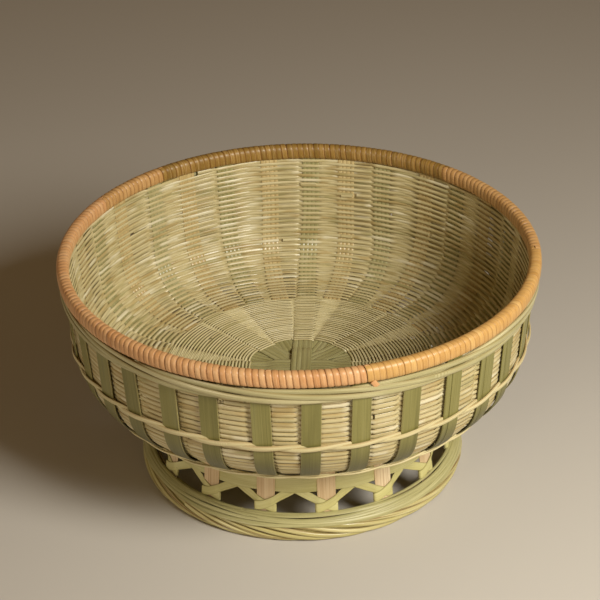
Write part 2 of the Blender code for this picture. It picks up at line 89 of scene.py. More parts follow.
class Wander:
    """Smooth unevenness of hand work over angle and distance, as a sum of waves."""

    waves = 7
    most_rounds = 12
    lowest, highest = 0.4, 1.0

    def __init__(self, seed: int, size: float, reach: float) -> None:
        """Draw the waves.

        Args:
            seed: Seed of the waves.
            size: Usual size of the unevenness.
            reach: Distance over which it changes, in metres.
        """
        rng = np.random.default_rng(seed)
        self.rounds = rng.integers(1, self.most_rounds, self.waves)
        self.climbs = rng.uniform(-TURN, TURN, self.waves) / reach
        self.phases = rng.uniform(0, TURN, self.waves)
        self.heights = rng.uniform(self.lowest, self.highest, self.waves) * size * math.sqrt(2 / self.waves)

    def __call__(self, angles: np.ndarray, distance: float) -> np.ndarray:
        """Read the unevenness.

        Args:
            angles: Angles round the basket.
            distance: Distance along the section.

        Returns:
            Offset at each angle.
        """
        total = np.zeros_like(angles)
        for rounds, climb, phase, height in zip(self.rounds, self.climbs, self.phases, self.heights):
            total = total + height * np.sin(rounds * angles + climb * distance + phase)
        return total


class Section:
    """A surface turned round the axis, as a table of arc length, radius and height."""

    def __init__(self, radius: np.ndarray, height: np.ndarray) -> None:
        """Keep the section and find its arc length.

        Args:
            radius: Radius of each point of the section, from its low end.
            height: Height of each point.
        """
        self.radius, self.height = radius, height
        self.arc = np.concatenate([[0.0], np.cumsum(np.hypot(np.diff(radius), np.diff(height)))])
        self.along = unit(np.stack([np.gradient(radius, self.arc), np.gradient(height, self.arc)], axis=-1))

    def arc_at_height(self, height: float) -> float:
        """Arc length of the last point at a height."""
        return float(np.interp(height, self.height, self.arc))

    def arc_at_radius(self, radius: float) -> float:
        """Arc length of the point at a radius, where the radius grows."""
        return float(np.interp(radius, self.radius, self.arc))

    def radius_at(self, arc: float) -> float:
        """Radius at an arc length."""
        return float(np.interp(arc, self.arc, self.radius))

    def place(
        self, arc: np.ndarray | float, angle: np.ndarray | float, offset: np.ndarray | float
    ) -> Placed:
        """Find points on or near the surface.

        Args:
            arc: Arc length of each point, or of all.
            angle: Angle of each point, or of all.
            offset: Distance of each point outward from the surface, or of all.

        Returns:
            Points, unit vectors up along the section, and unit vectors outward.
        """
        arc, angle, offset = np.broadcast_arrays(arc, angle, offset)
        tables = (self.radius, self.height, self.along[:, 0], self.along[:, 1])
        radius, height, run, rise = (np.interp(arc, self.arc, table)[..., None] for table in tables)
        size = np.hypot(run, rise)
        run, rise = run / size, rise / size
        out = directions(angle)
        along, outward = out * run + UP * rise, out * rise - UP * run
        return out * radius + UP * height + outward * offset[..., None], along, outward


def bowl_section() -> Section:
    """Find the middle plane of the woven stakes.

    Returns:
        A level floor, a rounded turn and a flared wall, from the floor's middle to the rim.
    """
    floor_height, reach, rise, flare = 53.5 * MM, 31.0 * MM, 30.0 * MM, 0.085
    top_radius, top_height, end_height = 125.55 * MM, 125.6 * MM, 128.6 * MM
    turn = math.atan2(reach, rise * flare)
    corner_top = floor_height + rise * (1 - math.cos(turn))
    edge = top_radius - flare * (top_height - corner_top) - reach * math.sin(turn)
    floor = np.linspace(0.0, edge, 60, endpoint=False)
    turns = np.linspace(0.0, turn, 120, endpoint=False)
    wall = np.linspace(corner_top, end_height, 60)
    corner_radius, corner_height = edge + reach * np.sin(turns), floor_height + rise * (1 - np.cos(turns))
    radius = np.concatenate([floor, corner_radius, top_radius + flare * (wall - top_height)])
    return Section(radius, np.concatenate([np.full_like(floor, floor_height), corner_height, wall]))


def foot_section() -> Section:
    """Find the middle plane of the foot's uprights.

    Returns:
        A straight slope, from the table to the bowl.
    """
    top_height, ring_height = 51.6 * MM, 11.4 * MM
    top_radius, ring_radius = 79.37 * MM, 83.67 * MM
    height = np.linspace(0.0, top_height, 40)
    fall = (top_height - height) / (top_height - ring_height)
    return Section(top_radius + (ring_radius - top_radius) * fall, height)


def oval(width: float, thickness: float, sides: int) -> np.ndarray:
    """Outline of a round or half-flattened strand, with this number of corners."""
    turn = np.arange(sides) * TURN / sides + math.pi / sides
    return np.stack([np.cos(turn) * width / 2, np.sin(turn) * thickness / 2], axis=-1)


def pressed_weft(width: float, thickness: float) -> np.ndarray:
    """Outline of a flat weft with a softly crowned face on both sides."""
    half = np.array([(0.5, 0.0), (0.40, 0.36), (0.0, 0.5), (-0.40, 0.36)])
    return np.concatenate([half, -half]) * (width, thickness)


def flat_strip(width: float, thickness: float, crown: float, edge: float) -> np.ndarray:
    """Outline of a flat split strip with a crowned skin and eased edges.

    Args:
        width: Width of the strip.
        thickness: Thickness at its edges.
        crown: How far the middle of the skin stands above its edges.
        edge: Size of the eased edge.

    Returns:
        Corners as across and outward, anticlockwise.
    """
    side, half, shoulder = width / 2, thickness / 2, crown * 0.75
    right = [(side - edge, -half), (side, -half + edge), (side, half - edge), (side - edge, half)]
    middle = [(side / 2, half + shoulder), (0.0, half + crown), (-side / 2, half + shoulder)]
    return np.array(right + middle + [(-x, y) for x, y in reversed(right)])


def fingered_strip(width: float, thickness: float, fingers: int, slit: float) -> np.ndarray:
    """Outline of a strip scored lengthwise into fingers, on both faces.

    Args:
        width: Width of the whole strip.
        thickness: Its thickness.
        fingers: Number of fingers.
        slit: Width of the scored line between two of them.

    Returns:
        Corners as across and outward, anticlockwise.
    """
    pitch, half, depth = width / fingers, thickness / 2, thickness * 0.3
    upper = []
    for index in range(fingers):
        right = width / 2 - index * pitch - slit / 2
        left = right - pitch + slit
        upper += [(right, half - depth), (right - slit, half), (left + slit, half), (left, half - depth)]
    return np.array(upper + [(-x, -y) for x, y in upper])


def widened(outline: np.ndarray, shares: np.ndarray) -> np.ndarray:
    """The outline once for each point of a strand, with its width times the point's share."""
    return outline[None] * np.stack([shares, np.ones_like(shares)], axis=-1)[:, None, :]


class StrandMesh:
    """Collects swept strands and makes one piece of them."""

    def __init__(self, name: str) -> None:
        """Start an empty piece with this name."""
        self.name, self.count = name, 0
        self.points, self.grain, self.quads, self.caps, self.slots = [], [], [], [], []

    def sweep(
        self,
        line: np.ndarray,
        across: np.ndarray,
        outward: np.ndarray,
        outline: np.ndarray,
        identity: float,
        start: float = 0.0,
        finish: int = 0,
    ) -> "StrandMesh":
        """Add one strand with closed ends.

        Args:
            line: Middle of the strand, point by point.
            across: Unit vectors across the strand, at each point.
            outward: Unit vectors away from the surface it lies on.
            outline: Corners of its section, one set for all or one for each point.
            identity: Number that its material tells it apart by.
            start: Length at which its grain starts.
            finish: Number of its material in the piece.

        Returns:
            The piece itself.
        """
        count, sides = len(line), outline.shape[-2]
        across, outward = np.broadcast_to(across, line.shape), np.broadcast_to(outward, line.shape)
        shape = np.broadcast_to(outline, (count, sides, 2))
        points = line[:, None, :] + shape[..., :1] * across[:, None, :]
        points = points + shape[..., 1:] * outward[:, None, :]
        length = np.concatenate([[0.0], np.cumsum(np.linalg.norm(np.diff(line, axis=0), axis=1))])
        grain = np.stack(np.broadcast_arrays(start + length[:, None], shape[..., 0], identity), axis=-1)
        middle = count // 2
        run = line[min(middle + 1, count - 1)] - line[middle - 1]
        index = self.count + np.arange(count * sides).reshape(count, sides)
        turned = np.roll(index, -1, axis=1)
        quads = np.stack([index[:-1], turned[:-1], turned[1:], index[1:]], axis=-1).reshape(-1, 4)
        first, last = index[0][::-1], index[-1]
        if np.dot(np.cross(across[middle], outward[middle]), run) <= 0:
            quads, first, last = quads[:, ::-1], first[::-1], last[::-1]
        self.points.append(points.reshape(-1, 3))
        self.grain.append(grain.reshape(-1, 3))
        self.quads.append(quads)
        self.caps += [first, last]
        self.slots.append(finish)
        self.count += count * sides
        return self

    def finish(
        self, material: Material | list[Material], slot: str, *nodes: str, sharp: float = 55.0
    ) -> Piece:
        """Make the piece, and let it stand for its solids.

        Args:
            material: Material of the piece, or several that its strands choose from.
            slot: Slot of the record that the material belongs to; not used.
            nodes: Names of the solids that the piece replaces.
            sharp: Angle in degrees above which an edge stays crisp.

        Returns:
            The new object.
        """
        quads = np.concatenate(self.quads)
        corners = np.concatenate([quads.ravel(), *self.caps])
        sizes = np.concatenate([np.full(len(quads), 4), [len(cap) for cap in self.caps]])
        starts = np.concatenate([[0], np.cumsum(sizes)[:-1]])
        sides = np.concatenate([np.full(len(part), number) for part, number in zip(self.quads, self.slots)])
        finishes = np.concatenate([sides, np.repeat(self.slots, 2)])
        mesh = bpy.data.meshes.new(self.name)
        mesh.vertices.add(self.count)
        mesh.vertices.foreach_set("co", np.concatenate(self.points).astype(np.float32).ravel())
        mesh.loops.add(len(corners))
        mesh.loops.foreach_set("vertex_index", corners.astype(np.int32))
        mesh.polygons.add(len(sizes))
        mesh.polygons.foreach_set("loop_start", starts.astype(np.int32))
        mesh.polygons.foreach_set("use_smooth", np.ones(len(sizes), dtype=bool))
        mesh.polygons.foreach_set("material_index", finishes.astype(np.int32))
        mesh.update(calc_edges=True)
        mesh.validate()
        layer = mesh.attributes.new("grain", "FLOAT_VECTOR", "POINT")
        layer.data.foreach_set("vector", np.concatenate(self.grain).astype(np.float32).ravel())
        mesh.set_sharp_from_angle(angle=math.radians(sharp))
        for each in material if isinstance(material, list) else [material]:
            mesh.materials.append(each)
        piece = bpy.data.objects.new(self.name, mesh)
        bpy.context.scene.collection.objects.link(piece)
        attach(piece, BODY)
        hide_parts(*nodes)
        return piece


def linear(code: str) -> tuple[float, float, float, float]:
    """Turn an sRGB hex colour such as #C9B480 to linear red, green, blue and an alpha of one."""
    values = [int(code[place : place + 2], 16) / 255 for place in (1, 3, 5)]
    return (*(v / 12.92 if v <= 0.04045 else ((v + 0.055) / 1.055) ** 2.4 for v in values), 1.0)


def add_node(
    tree: Tree,
    kind: str,
    settings: Optional[dict[str, object]] = None,
    inputs: Optional[dict[int | str, object]] = None,
) -> bpy.types.Node:
    """Add a shader node.

    Args:
        tree: Tree that the node goes into.
        kind: Blender's name of the node's type.
        settings: Values of its own properties.
        inputs: Values of its sockets, or output sockets that they are linked to.

    Returns:
        The node.
    """
    node = tree.nodes.new(kind)
    for key, value in (settings or {}).items():
        setattr(node, key, value)
    for key, value in (inputs or {}).items():
        if isinstance(value, Socket):
            tree.links.new(value, node.inputs[key])
        else:
            node.inputs[key].default_value = value
    return node


class Wear(Enum):
    """What making and handling have done to a strip."""

    CLEAN = "clean"
    FIBROUS = "fibrous"
    SCORED = "scored"


# Bamboo is cellulose and lignin, with the index of wood; its fibres stand out by a hair's width.
BAMBOO_IOR = 1.5
RIB_HEIGHT = 0.15 * MM
# Values of the fibres' noise between which the roughness changes, and how far it does.
ROUGH_RANGE = (0.3, 0.7)
ROUGH_CHANGE = (-0.06, 0.10)
# Places of the first and the last tone on the ramp.
TONE_RANGE = (0.12, 0.88)
# Values between which a layer of colour fades in, and for some of them its full strength.
SLOW_RANGE = (0.32, 0.68)
EDGE_RANGE = (0.35, 0.62)
DARK_FIBRES = (0.50, 0.70)
LIGHT_FIBRES = (0.48, 0.32)
PALE_FLOATS = (0.62, 0.70, 0.7)
BROWN_FLOATS = (0.38, 0.28, 0.6)
SPLITS = (0.62, 0.68, 0.7)
SCORE_LINE = (0.22 * MM, 0.08 * MM)
# Where a strip's darker low end is full, and how strong it is; it is partly painted shade.
FOOT_FULL_SHARE = 0.45
LOW_END_TINT_AND_SHADE_STRENGTH = 0.85
# Width of a weft's floats, and length and width of the reddish slits in a thick strand.
FLOAT_WIDTH = 40.0 * MM
SPLIT_SIZE = (45.0 * MM, 0.8 * MM)


@dataclass(frozen=True)
class Bamboo:
    """Finish of split bamboo or cane, with its grain along each strip.

    The grain is long fibres, which show as fine streaks and a slight ribbing.
    Strips differ in tone, and each one changes slowly along its length. Some finishes brown the edges, which
    is wear on some strips and painted shade between strands, rows and turns on others, and some darken the
    low end, partly as painted shade.
    """

    name: str
    tones: tuple[str, ...]
    fibre_colour: str
    light_colour: str
    roughness: float
    fibre_width: float = 0.35 * MM
    fibre_length: float = 28.0 * MM
    fibre_strength: float = 0.45
    light_strength: float = 0.35
    patch_length: float = 35.0 * MM
    patch_width: float = 6.0 * MM
    strip_share: float = 0.55
    bump: float = 0.35
    wear: Wear = Wear.CLEAN
    score_pitch: float = 2.5 * MM
    score_strength: float = 0.4
    score_colour: str = "#4A4222"
    split_colour: str = "#7A4A2C"
    # Browner band along the edges: wear on some strips, painted shade between strands, rows and turns on
    # others.
    half_width: float = 0.0
    edge_start: float = 0.7
    edge_wear_and_shade_colour: str = "#8A6A3A"
    edge_wear_and_shade_strength: float = 0.6
    edge_change: float = 0.4
    # Darker low end of a strip: partly a grey tint, partly painted shade under the bowl's turn.
    foot_length: float = 0.0
    low_end_tint_and_shade_colour: str = "#534F2E"
    float_length: float = 0.0
    float_pale: str = "#E4DDBE"
    float_brown: str = "#A38A52"

    def grain_noise(
        self, tree: Tree, grain: Socket, size: Pair, detail: float
    ) -> Socket:
        """Draw noise out along the strips.

        Args:
            tree: Tree of the material.
            grain: Output with length, place across and number of the strip.
            size: Length and width of the noise's spots, in metres.
            detail: Detail of the noise.

        Returns:
            The noise's factor.
        """
        strip_step = 7.31
        scale = (1 / size[0], 1 / size[1], strip_step)
        spread = add_node(tree, "ShaderNodeVectorMath", {"operation": "MULTIPLY"}, {0: grain, 1: scale})
        inputs = {"Vector": spread.outputs[0], "Scale": 1.0, "Detail": detail, "Roughness": 0.6}
        return add_node(tree, "ShaderNodeTexNoise", inputs=inputs).outputs[0]

    def tone(self, tree: Tree, identity: Socket, patch: Socket) -> Socket:
        """Choose among the tones, by the strip and by slow changes along it.

        Args:
            tree: Tree of the material.
            identity: Number of the strip.
            patch: Slow noise along the strip.

        Returns:
            The bare colour of the strip.
        """
        strip = add_node(tree, "ShaderNodeTexWhiteNoise", {"noise_dimensions": "1D"}, {"W": identity})
        slow = add_node(tree, "ShaderNodeMapRange", inputs={0: patch, 1: SLOW_RANGE[0], 2: SLOW_RANGE[1]})
        inputs = {0: self.strip_share, 2: slow.outputs[0], 3: strip.outputs["Value"]}
        choice = add_node(tree, "ShaderNodeMix", {"data_type": "FLOAT"}, inputs)
        ramp = add_node(tree, "ShaderNodeValToRGB", inputs={"Fac": choice.outputs[0]})
        elements = ramp.color_ramp.elements
        while len(elements) < len(self.tones):
            elements.new(0.5)
        for element, place, code in zip(elements, np.linspace(*TONE_RANGE, len(self.tones)), self.tones):
            element.position = place
            element.color = linear(code)
        return ramp.outputs["Color"]

    def colour(
        self, tree: Tree, grain: Socket, fibre: Socket
    ) -> Socket:
        """Lay fibres, floats, browner edges, a darker low end and wear over the strip's own tone; the browner
        edges and the darker low end are partly painted shade.

        Args:
            tree: Tree of the material.
            grain: Output with length, place across and number of the strip.
            fibre: Noise of the fibres.

        Returns:
            The whole colour.
        """
        length, across, identity = add_node(tree, "ShaderNodeSeparateXYZ", inputs={0: grain}).outputs
        patch = self.grain_noise(tree, grain, (self.patch_length, self.patch_width), 2.0)
        colour = self.tone(tree, identity, patch)
        layers = [
            (fibre, (*DARK_FIBRES, self.fibre_strength), self.fibre_colour),
            (fibre, (*LIGHT_FIBRES, self.light_strength), self.light_colour),
        ]
        if self.float_length:
            floats = self.grain_noise(tree, grain, (self.float_length, FLOAT_WIDTH), 0.0)
            layers += [(floats, PALE_FLOATS, self.float_pale), (floats, BROWN_FLOATS, self.float_brown)]
        # Browner edges: wear on some strips, painted shade between strands, rows and turns on others.
        if self.half_width:
            away = add_node(tree, "ShaderNodeMath", {"operation": "ABSOLUTE"}, {0: across}).outputs[0]
            low = self.edge_wear_and_shade_strength * (1 - self.edge_change)
            inputs = {0: patch, 1: EDGE_RANGE[0], 2: EDGE_RANGE[1], 3: low, 4: self.edge_wear_and_shade_strength}
            held = add_node(tree, "ShaderNodeMapRange", inputs=inputs).outputs[0]
            reach = (self.half_width * self.edge_start, self.half_width, held)
            layers.append((away, reach, self.edge_wear_and_shade_colour))
        # Darker low end: partly a grey tint, partly painted shade under the bowl's turn.
        if self.foot_length:
            reach = (self.foot_length, self.foot_length * FOOT_FULL_SHARE, LOW_END_TINT_AND_SHADE_STRENGTH)
            layers.append((length, reach, self.low_end_tint_and_shade_colour))
        if self.wear is Wear.SCORED:
            inputs = {0: across, 1: self.score_pitch / 2}
            near = add_node(tree, "ShaderNodeMath", {"operation": "PINGPONG"}, inputs).outputs[0]
            layers.append((near, (*SCORE_LINE, self.score_strength), self.score_colour))
        if self.wear is Wear.FIBROUS:
            layers.append((self.grain_noise(tree, grain, SPLIT_SIZE, 1.0), SPLITS, self.split_colour))
        for source, (low, high, strength), over in layers:
            fade = add_node(tree, "ShaderNodeMapRange", inputs={0: source, 1: low, 2: high, 4: strength})
            inputs = {0: fade.outputs[0], 6: colour, 7: linear(over)}
            colour = add_node(tree, "ShaderNodeMix", {"data_type": "RGBA"}, inputs).outputs[2]
        return colour

    def build(self) -> Material:
        """Make the material.

        Returns:
            A material whose colour, roughness and bump follow the same fibres.
        """
        material = bpy.data.materials.new(self.name)
        material.use_nodes = True
        tree = material.node_tree
        shader = tree.nodes["Principled BSDF"]
        grain = add_node(tree, "ShaderNodeAttribute", {"attribute_name": "grain"}).outputs["Vector"]
        fibre = self.grain_noise(tree, grain, (self.fibre_length, self.fibre_width), 3.0)
        tree.links.new(self.colour(tree, grain, fibre), shader.inputs["Base Color"])
        smooth, rough = (self.roughness + change for change in ROUGH_CHANGE)
        inputs = {0: fibre, 1: ROUGH_RANGE[0], 2: ROUGH_RANGE[1], 3: smooth, 4: rough}
        roughness = add_node(tree, "ShaderNodeMapRange", inputs=inputs)
        tree.links.new(roughness.outputs[0], shader.inputs["Roughness"])
        inputs = {"Strength": self.bump, "Distance": RIB_HEIGHT, "Height": fibre}
        ribs = add_node(tree, "ShaderNodeBump", inputs=inputs)
        tree.links.new(ribs.outputs[0], shader.inputs["Normal"])
        shader.inputs["IOR"].default_value = BAMBOO_IOR
        return material


class Finishes:
    """The materials of the basket."""

    def __init__(self) -> None:
        """Build each finish once."""
        # Split wefts without their skin: cream and straw, browner along both edges: partly brown fibres,
        # partly painted shade between the rows.
        self.weft = Bamboo(
            "split bamboo weft", ("#A79E6D", "#BCAF80", "#CBBF92", "#C3B684", "#BBA672"),
            "#B19C66", "#F0E8C6", 0.31, patch_length=26.0 * MM, strip_share=0.35, half_width=0.95 * MM,
            edge_start=0.68, edge_wear_and_shade_colour="#A3884F", edge_wear_and_shade_strength=0.5, float_length=22.0 * MM,
        ).build()
        # The same, split finer for the floor: paler and a little more worn, with browner edges that are
        # partly painted shade between the rows.
        self.fine_weft = Bamboo(
            "fine split bamboo weft", ("#BDB380", "#D2C797", "#E1D7AB", "#D7CA97"), "#AE9A63", "#EEE6C0",
            0.31, patch_length=24.0 * MM, strip_share=0.35, half_width=0.55 * MM, edge_start=0.60,
            edge_wear_and_shade_colour="#9C8650",
        ).build()
        # Skin side of the stakes that come from the base: dull green, scored into fingers.
        self.green_stake = Bamboo(
            "scored green bamboo stake", ("#98915D", "#A8A26F", "#B7B184"), "#847D4C", "#CFCDA8",
            0.27, wear=Wear.SCORED,
        ).build()
        # The same strips without their skin: warm straw, scored too.
        self.straw_stake = Bamboo(
            "scored straw bamboo stake", ("#BDA46C", "#CBB37C", "#D8C590"), "#9A8350", "#E4D5AA",
            0.28, wear=Wear.SCORED, score_pitch=3.3 * MM, score_strength=0.3,
        ).build()
        # Flat outer stakes with the skin left on: olive green, satin, with fine upright streaks, pale worn
        # edges, and a darker low end that is partly a grey tint and partly painted shade under the bowl's
        # turn.
        self.olive_stake = Bamboo(
            "olive bamboo skin", ("#75703B", "#837D44", "#8E884E", "#7E7B4D"), "#605B2E", "#A39D66",
            0.40, fibre_width=0.30 * MM, fibre_length=60.0 * MM, fibre_strength=0.5, patch_length=70.0 * MM,
            half_width=4.9 * MM, edge_start=0.93, edge_wear_and_shade_colour="#A79B66", edge_wear_and_shade_strength=0.7,
            foot_length=44.0 * MM,
        ).build()
        # Thick strands under the rim: pale straw with a grey green cast, brown along their edges: partly
        # their own colour, partly painted shade between the strands.
        self.band = Bamboo(
            "pale bamboo strand", ("#A39C6C", "#B7AF80", "#C9C094"), "#8F8050", "#E0DAB4",
            0.34, fibre_width=0.40 * MM, half_width=1.6 * MM, edge_start=0.6, edge_wear_and_shade_colour="#8C7747",
            edge_wear_and_shade_strength=0.75,
        ).build()
        # Twined pairs round the stakes: warm straw, browner along their edges, partly as painted shade
        # between the strands.
        self.twine = Bamboo(
            "straw bamboo strand", ("#BBB07E", "#CEC291", "#DACE9F"), "#A38A5A", "#EAE1BA",
            0.40, half_width=1.4 * MM, edge_start=0.55, edge_wear_and_shade_colour="#A07C48",
        ).build()
        # Foot strips: fresh yellow green, smooth and satin, dark along their edges as painted shade where the
        # strips cross and fold.
        self.foot_strip = Bamboo(
            "yellow green bamboo strip", ("#BDB573", "#CBC482", "#D5CF94"), "#A79E5C", "#E2DDAC",
            0.38, fibre_strength=0.35, half_width=2.7 * MM, edge_start=0.84, edge_wear_and_shade_colour="#857B3E",
            edge_wear_and_shade_strength=0.85, edge_change=0.2,
        ).build()
        # The foot's hoop: the same skin, painted a little darker and duller as shade under the bowl.
        self.hoop_strip = Bamboo(
            "shade painted green bamboo strip", ("#B2AA6C", "#C0B97A", "#CCC68C"), "#9D9455", "#DAD5A4",
            0.40, fibre_strength=0.4, half_width=4.6 * MM, edge_start=0.92, edge_wear_and_shade_colour="#9B9152",
        ).build()
        # Uprights: inner wood of the culm, pinkish tan with open darker fibres.
        self.upright = Bamboo(
            "pink tan bamboo strip", ("#D5B98C", "#E0C79C", "#E8D3AB"), "#B58F68", "#F3E5C8",
            0.50, fibre_width=0.42 * MM, fibre_length=80.0 * MM, fibre_strength=0.75, bump=0.5,
        ).build()
        # Border strands: thick splits with frayed sides, pale with reddish slits, dark along their edges as
        # painted shade in the gaps between strands.
        self.border = Bamboo(
            "pale bamboo border strand", ("#A79C5C", "#C1B779", "#D4C990"), "#937F4E", "#F0E9C0",
            0.27, fibre_width=0.5 * MM, wear=Wear.FIBROUS, half_width=1.5 * MM, edge_start=0.62,
            edge_wear_and_shade_colour="#8A6B42", edge_wear_and_shade_strength=0.8,
        ).build()
        # Flat strips on the border's shoulder: grey green skin, dark along their edges as painted shade where
        # they overlap.
        self.shoulder = Bamboo(
            "grey green bamboo strip", ("#A09A66", "#AFA976", "#BEB885"), "#827B48", "#D3CE9F",
            0.38, half_width=1.3 * MM, edge_start=0.6, edge_wear_and_shade_colour="#756C3C", edge_wear_and_shade_strength=0.75,
        ).build()
        # Winding cane is shiny, with fine lines along it, and brown along each turn's edges as painted shade
        # in the grooves between turns.
        self.canes = [
            self.cane("pink amber winding cane", ("#C8915C", "#D4A16C", "#DAAC79"), "#B0703E", 0.55),
            self.cane("yellow amber winding cane", ("#BE904E", "#CC9F5B", "#D4AB68"), "#A8783A", 0.35),
            # Browner cane at the back of the rim, darkened further as painted shade there.
            self.cane("shade darkened brown amber winding cane", ("#896B2E", "#997737", "#A68341"), "#7A522A", 0.75),
            self.cane("tan winding cane", ("#B98B51", "#C5985E", "#D0A56C"), "#9C6C38", 0.75),
        ]

    def cane(
        self, name: str, tones: tuple[str, ...], fibre_colour: str, groove_shade: float
    ) -> Material:
        """Make the material of one colour of winding cane.

        Args:
            name: Name of the material.
            tones: Its tones, as sRGB hex.
            fibre_colour: Colour of its darker fibres.
            groove_shade: How strong the brown painted shade in the grooves between the turns is.

        Returns:
            The material.
        """
        return Bamboo(
            name, tones, fibre_colour, "#EBC695", 0.40, fibre_width=0.45 * MM, fibre_length=12.0 * MM,
            fibre_strength=0.4, patch_length=26.0 * MM, patch_width=40.0 * MM, strip_share=0.2,
            half_width=1.65 * MM, edge_start=0.62, edge_wear_and_shade_colour="#7C4A22", edge_wear_and_shade_strength=groove_shade, bump=0.3,
        ).build()


class Cane(Enum):
    """Colour of a length of winding cane, with its place among the rim's materials."""

    PINK = 0
    AMBER = 1
    # Browner cane, darkened further as painted shade at the back of the rim.
    BROWN = 2
    TAN = 3


@dataclass
class Stakes:
    """Places of the stakes round the basket, and how they lean where the hand drew them."""

    pitch: float = math.radians(11.25)
    first_outer: float = math.radians(11.25 / 4)
    spokes: int = 16
    lean: float = math.radians(1.6)
    lean_middle: float = math.radians(-8.0)
    lean_reach: float = math.radians(24.0)
    lean_heights: Pair = (56.0 * MM, 95.0 * MM)
    slip: float = math.radians(0.8)
    slip_seed: int = 19
    even_stakes: int = 5

    @property
    def first_spoke(self) -> float:
        """Angle of the first base splint."""
        return self.first_outer - self.pitch / 2

    def spoke(self, index: int) -> float:
        """Angle of a base splint's spoke."""
        return self.first_spoke + index * 2 * self.pitch

    def added(self, index: int) -> float:
        """Angle of an added stake, and of the upright below it."""
        return self.spoke(index) + self.pitch

    @property
    def slips(self) -> np.ndarray:
        """Find how far the stakes sit from their even places, but for those of the front.

        Returns:
            Angle for each stake.
        """
        slips = np.random.default_rng(self.slip_seed).normal(0.0, self.slip, 2 * self.spokes)
        slips[: self.even_stakes] = 0.0
        slips[-self.even_stakes :] = 0.0
        return slips

    def leaning(self, angles: np.ndarray | float, arcs: np.ndarray) -> np.ndarray:
        """Move angles of the woven stakes to where the hand drew them.

        Near the front the wall's stakes lean to the left, and elsewhere they slip a little.

        Args:
            angles: Angles of the straight stakes.
            arcs: Arc lengths along the bowl's section.

        Returns:
            The leaning angles.
        """
        share = eased(np.interp(arcs, BOWL.arc, BOWL.height), *self.lean_heights)
        away = (angles - self.lean_middle + math.pi) % TURN - math.pi
        place = (angles - self.first_spoke) / self.pitch
        before = np.floor(place).astype(int)
        slips = self.slips
        after = slips[(before + 1) % len(slips)]
        slip = slips[before % len(slips)] * (before + 1 - place) + after * (place - before)
        return angles + (slip - self.lean * np.exp(-((away / self.lean_reach) ** 2))) * share


STAKES = Stakes()
BOWL = bowl_section()
FOOT = foot_section()
# Angle in degrees above which the edges of a flat strip stay crisp.
FLAT_SHARP = 40.0


@dataclass
class Assembly:
    """A sub-assembly of the basket, with the finishes it takes and the seed of its unevenness."""

    finishes: Finishes
    seed: int = 0

    def __post_init__(self) -> None:
        """Start the source of its unevenness."""
        self.rng = np.random.default_rng(self.seed)

    def start(self, reach: float) -> float:
        """Length at which a strand's grain starts, drawn from zero to the reach."""
        return float(self.rng.uniform(0, reach))


@dataclass
class BowlStakes(Assembly):
    """Base splints and added stakes, scored strips that the wefts go round."""

    width: float = 10.0 * MM
    thickness: float = 0.5 * MM
    fingers: int = 4
    slit: float = 0.16 * MM
    layer_order: tuple[int, ...] = (3, 0, 2, 1)
    layer_pitch: float = 0.62 * MM
    closing_radii: Pair = (13.6 * MM, 21.0 * MM)
    levelling_radii: Pair = (26.0 * MM, 31.0 * MM)
    narrowing_radii: Pair = (29.0 * MM, 42.0 * MM)
    middle_share: float = 1.13
    middle_reach: float = 34.0 * MM
    middle_step: float = 2.0 * MM
    added_radius: float = 77.0 * MM

    def layer(self, index: int) -> float:
        """Place of a splint in the stack at the middle, in layers from its centre."""
        order = self.layer_order[index // 2]
        return order + 0.5 if index % 2 == 0 else -order - 0.5

    def splint_half(self, index: int) -> tuple[np.ndarray, np.ndarray]:
        """Find arc length and offset along one half of a splint.

        Args:
            index: Number of the splint, from zero.

        Returns:
            Arc lengths from the middle, and offsets outward.
        """
        level = self.layer(index) * self.layer_pitch
        near = math.copysign(0.5, level) * self.layer_pitch
        middle = np.linspace(0.0, self.middle_reach, 18)
        arcs = np.concatenate([middle, np.linspace(middle[-1] + self.middle_step, BOWL.arc[-1], 60)])
        lift = level + (near - level) * eased(arcs, *self.closing_radii)
        return arcs, -lift * (1 - eased(arcs, *self.levelling_radii))

    def build(self) -> Iterator[Piece]:
        """Build the eight splints and the sixteen added stakes.

        Yields:
            Each strip.
        """
        outline = fingered_strip(self.width, self.thickness, self.fingers, self.slit)
        for index in range(STAKES.spokes // 2):
            arcs, offsets = self.splint_half(index)
            near_angles = STAKES.leaning(STAKES.spoke(index), arcs)
            far_angles = STAKES.leaning(STAKES.spoke(index) + math.pi, arcs)
            near, _, near_out = BOWL.place(arcs, near_angles, offsets)
            far, _, far_out = BOWL.place(arcs, far_angles, offsets)
            line = np.concatenate([far[:0:-1], near])
            outward = np.concatenate([far_out[:0:-1], near_out])
            side = np.concatenate([-tangents(far_angles)[:0:-1], tangents(near_angles)])
            broad = self.middle_share + (1 - self.middle_share) * eased(arcs, *self.narrowing_radii)
            shape = widened(outline, np.concatenate([broad[:0:-1], broad]))
            mesh = StrandMesh(f"splint_{index + 1}").sweep(line, side, outward, shape, 100.0 + index)
            yield mesh.finish(self.finishes.green_stake, "green_skin", f"base_splint_{index + 1}")
        arcs = np.linspace(self.added_radius, BOWL.arc[-1], 60)
        for index in range(STAKES.spokes):
            angles = STAKES.leaning(STAKES.added(index), arcs)
            line, _, outward = BOWL.place(arcs, angles, 0.0)
            mesh = StrandMesh(f"added_stake_{index + 1}_strip")
            mesh.sweep(line, tangents(angles), outward, outline, 120.0 + index)
            yield mesh.finish(self.finishes.straw_stake, "straw", f"added_stake_{index + 1}")


@dataclass(frozen=True)
class Weft:
    """One size of weft, with its shares of that width between stakes and outside of them."""

    width: float
    thickness: float
    pitch: float
    gap_share: float
    outer_share: float
    stakes: int


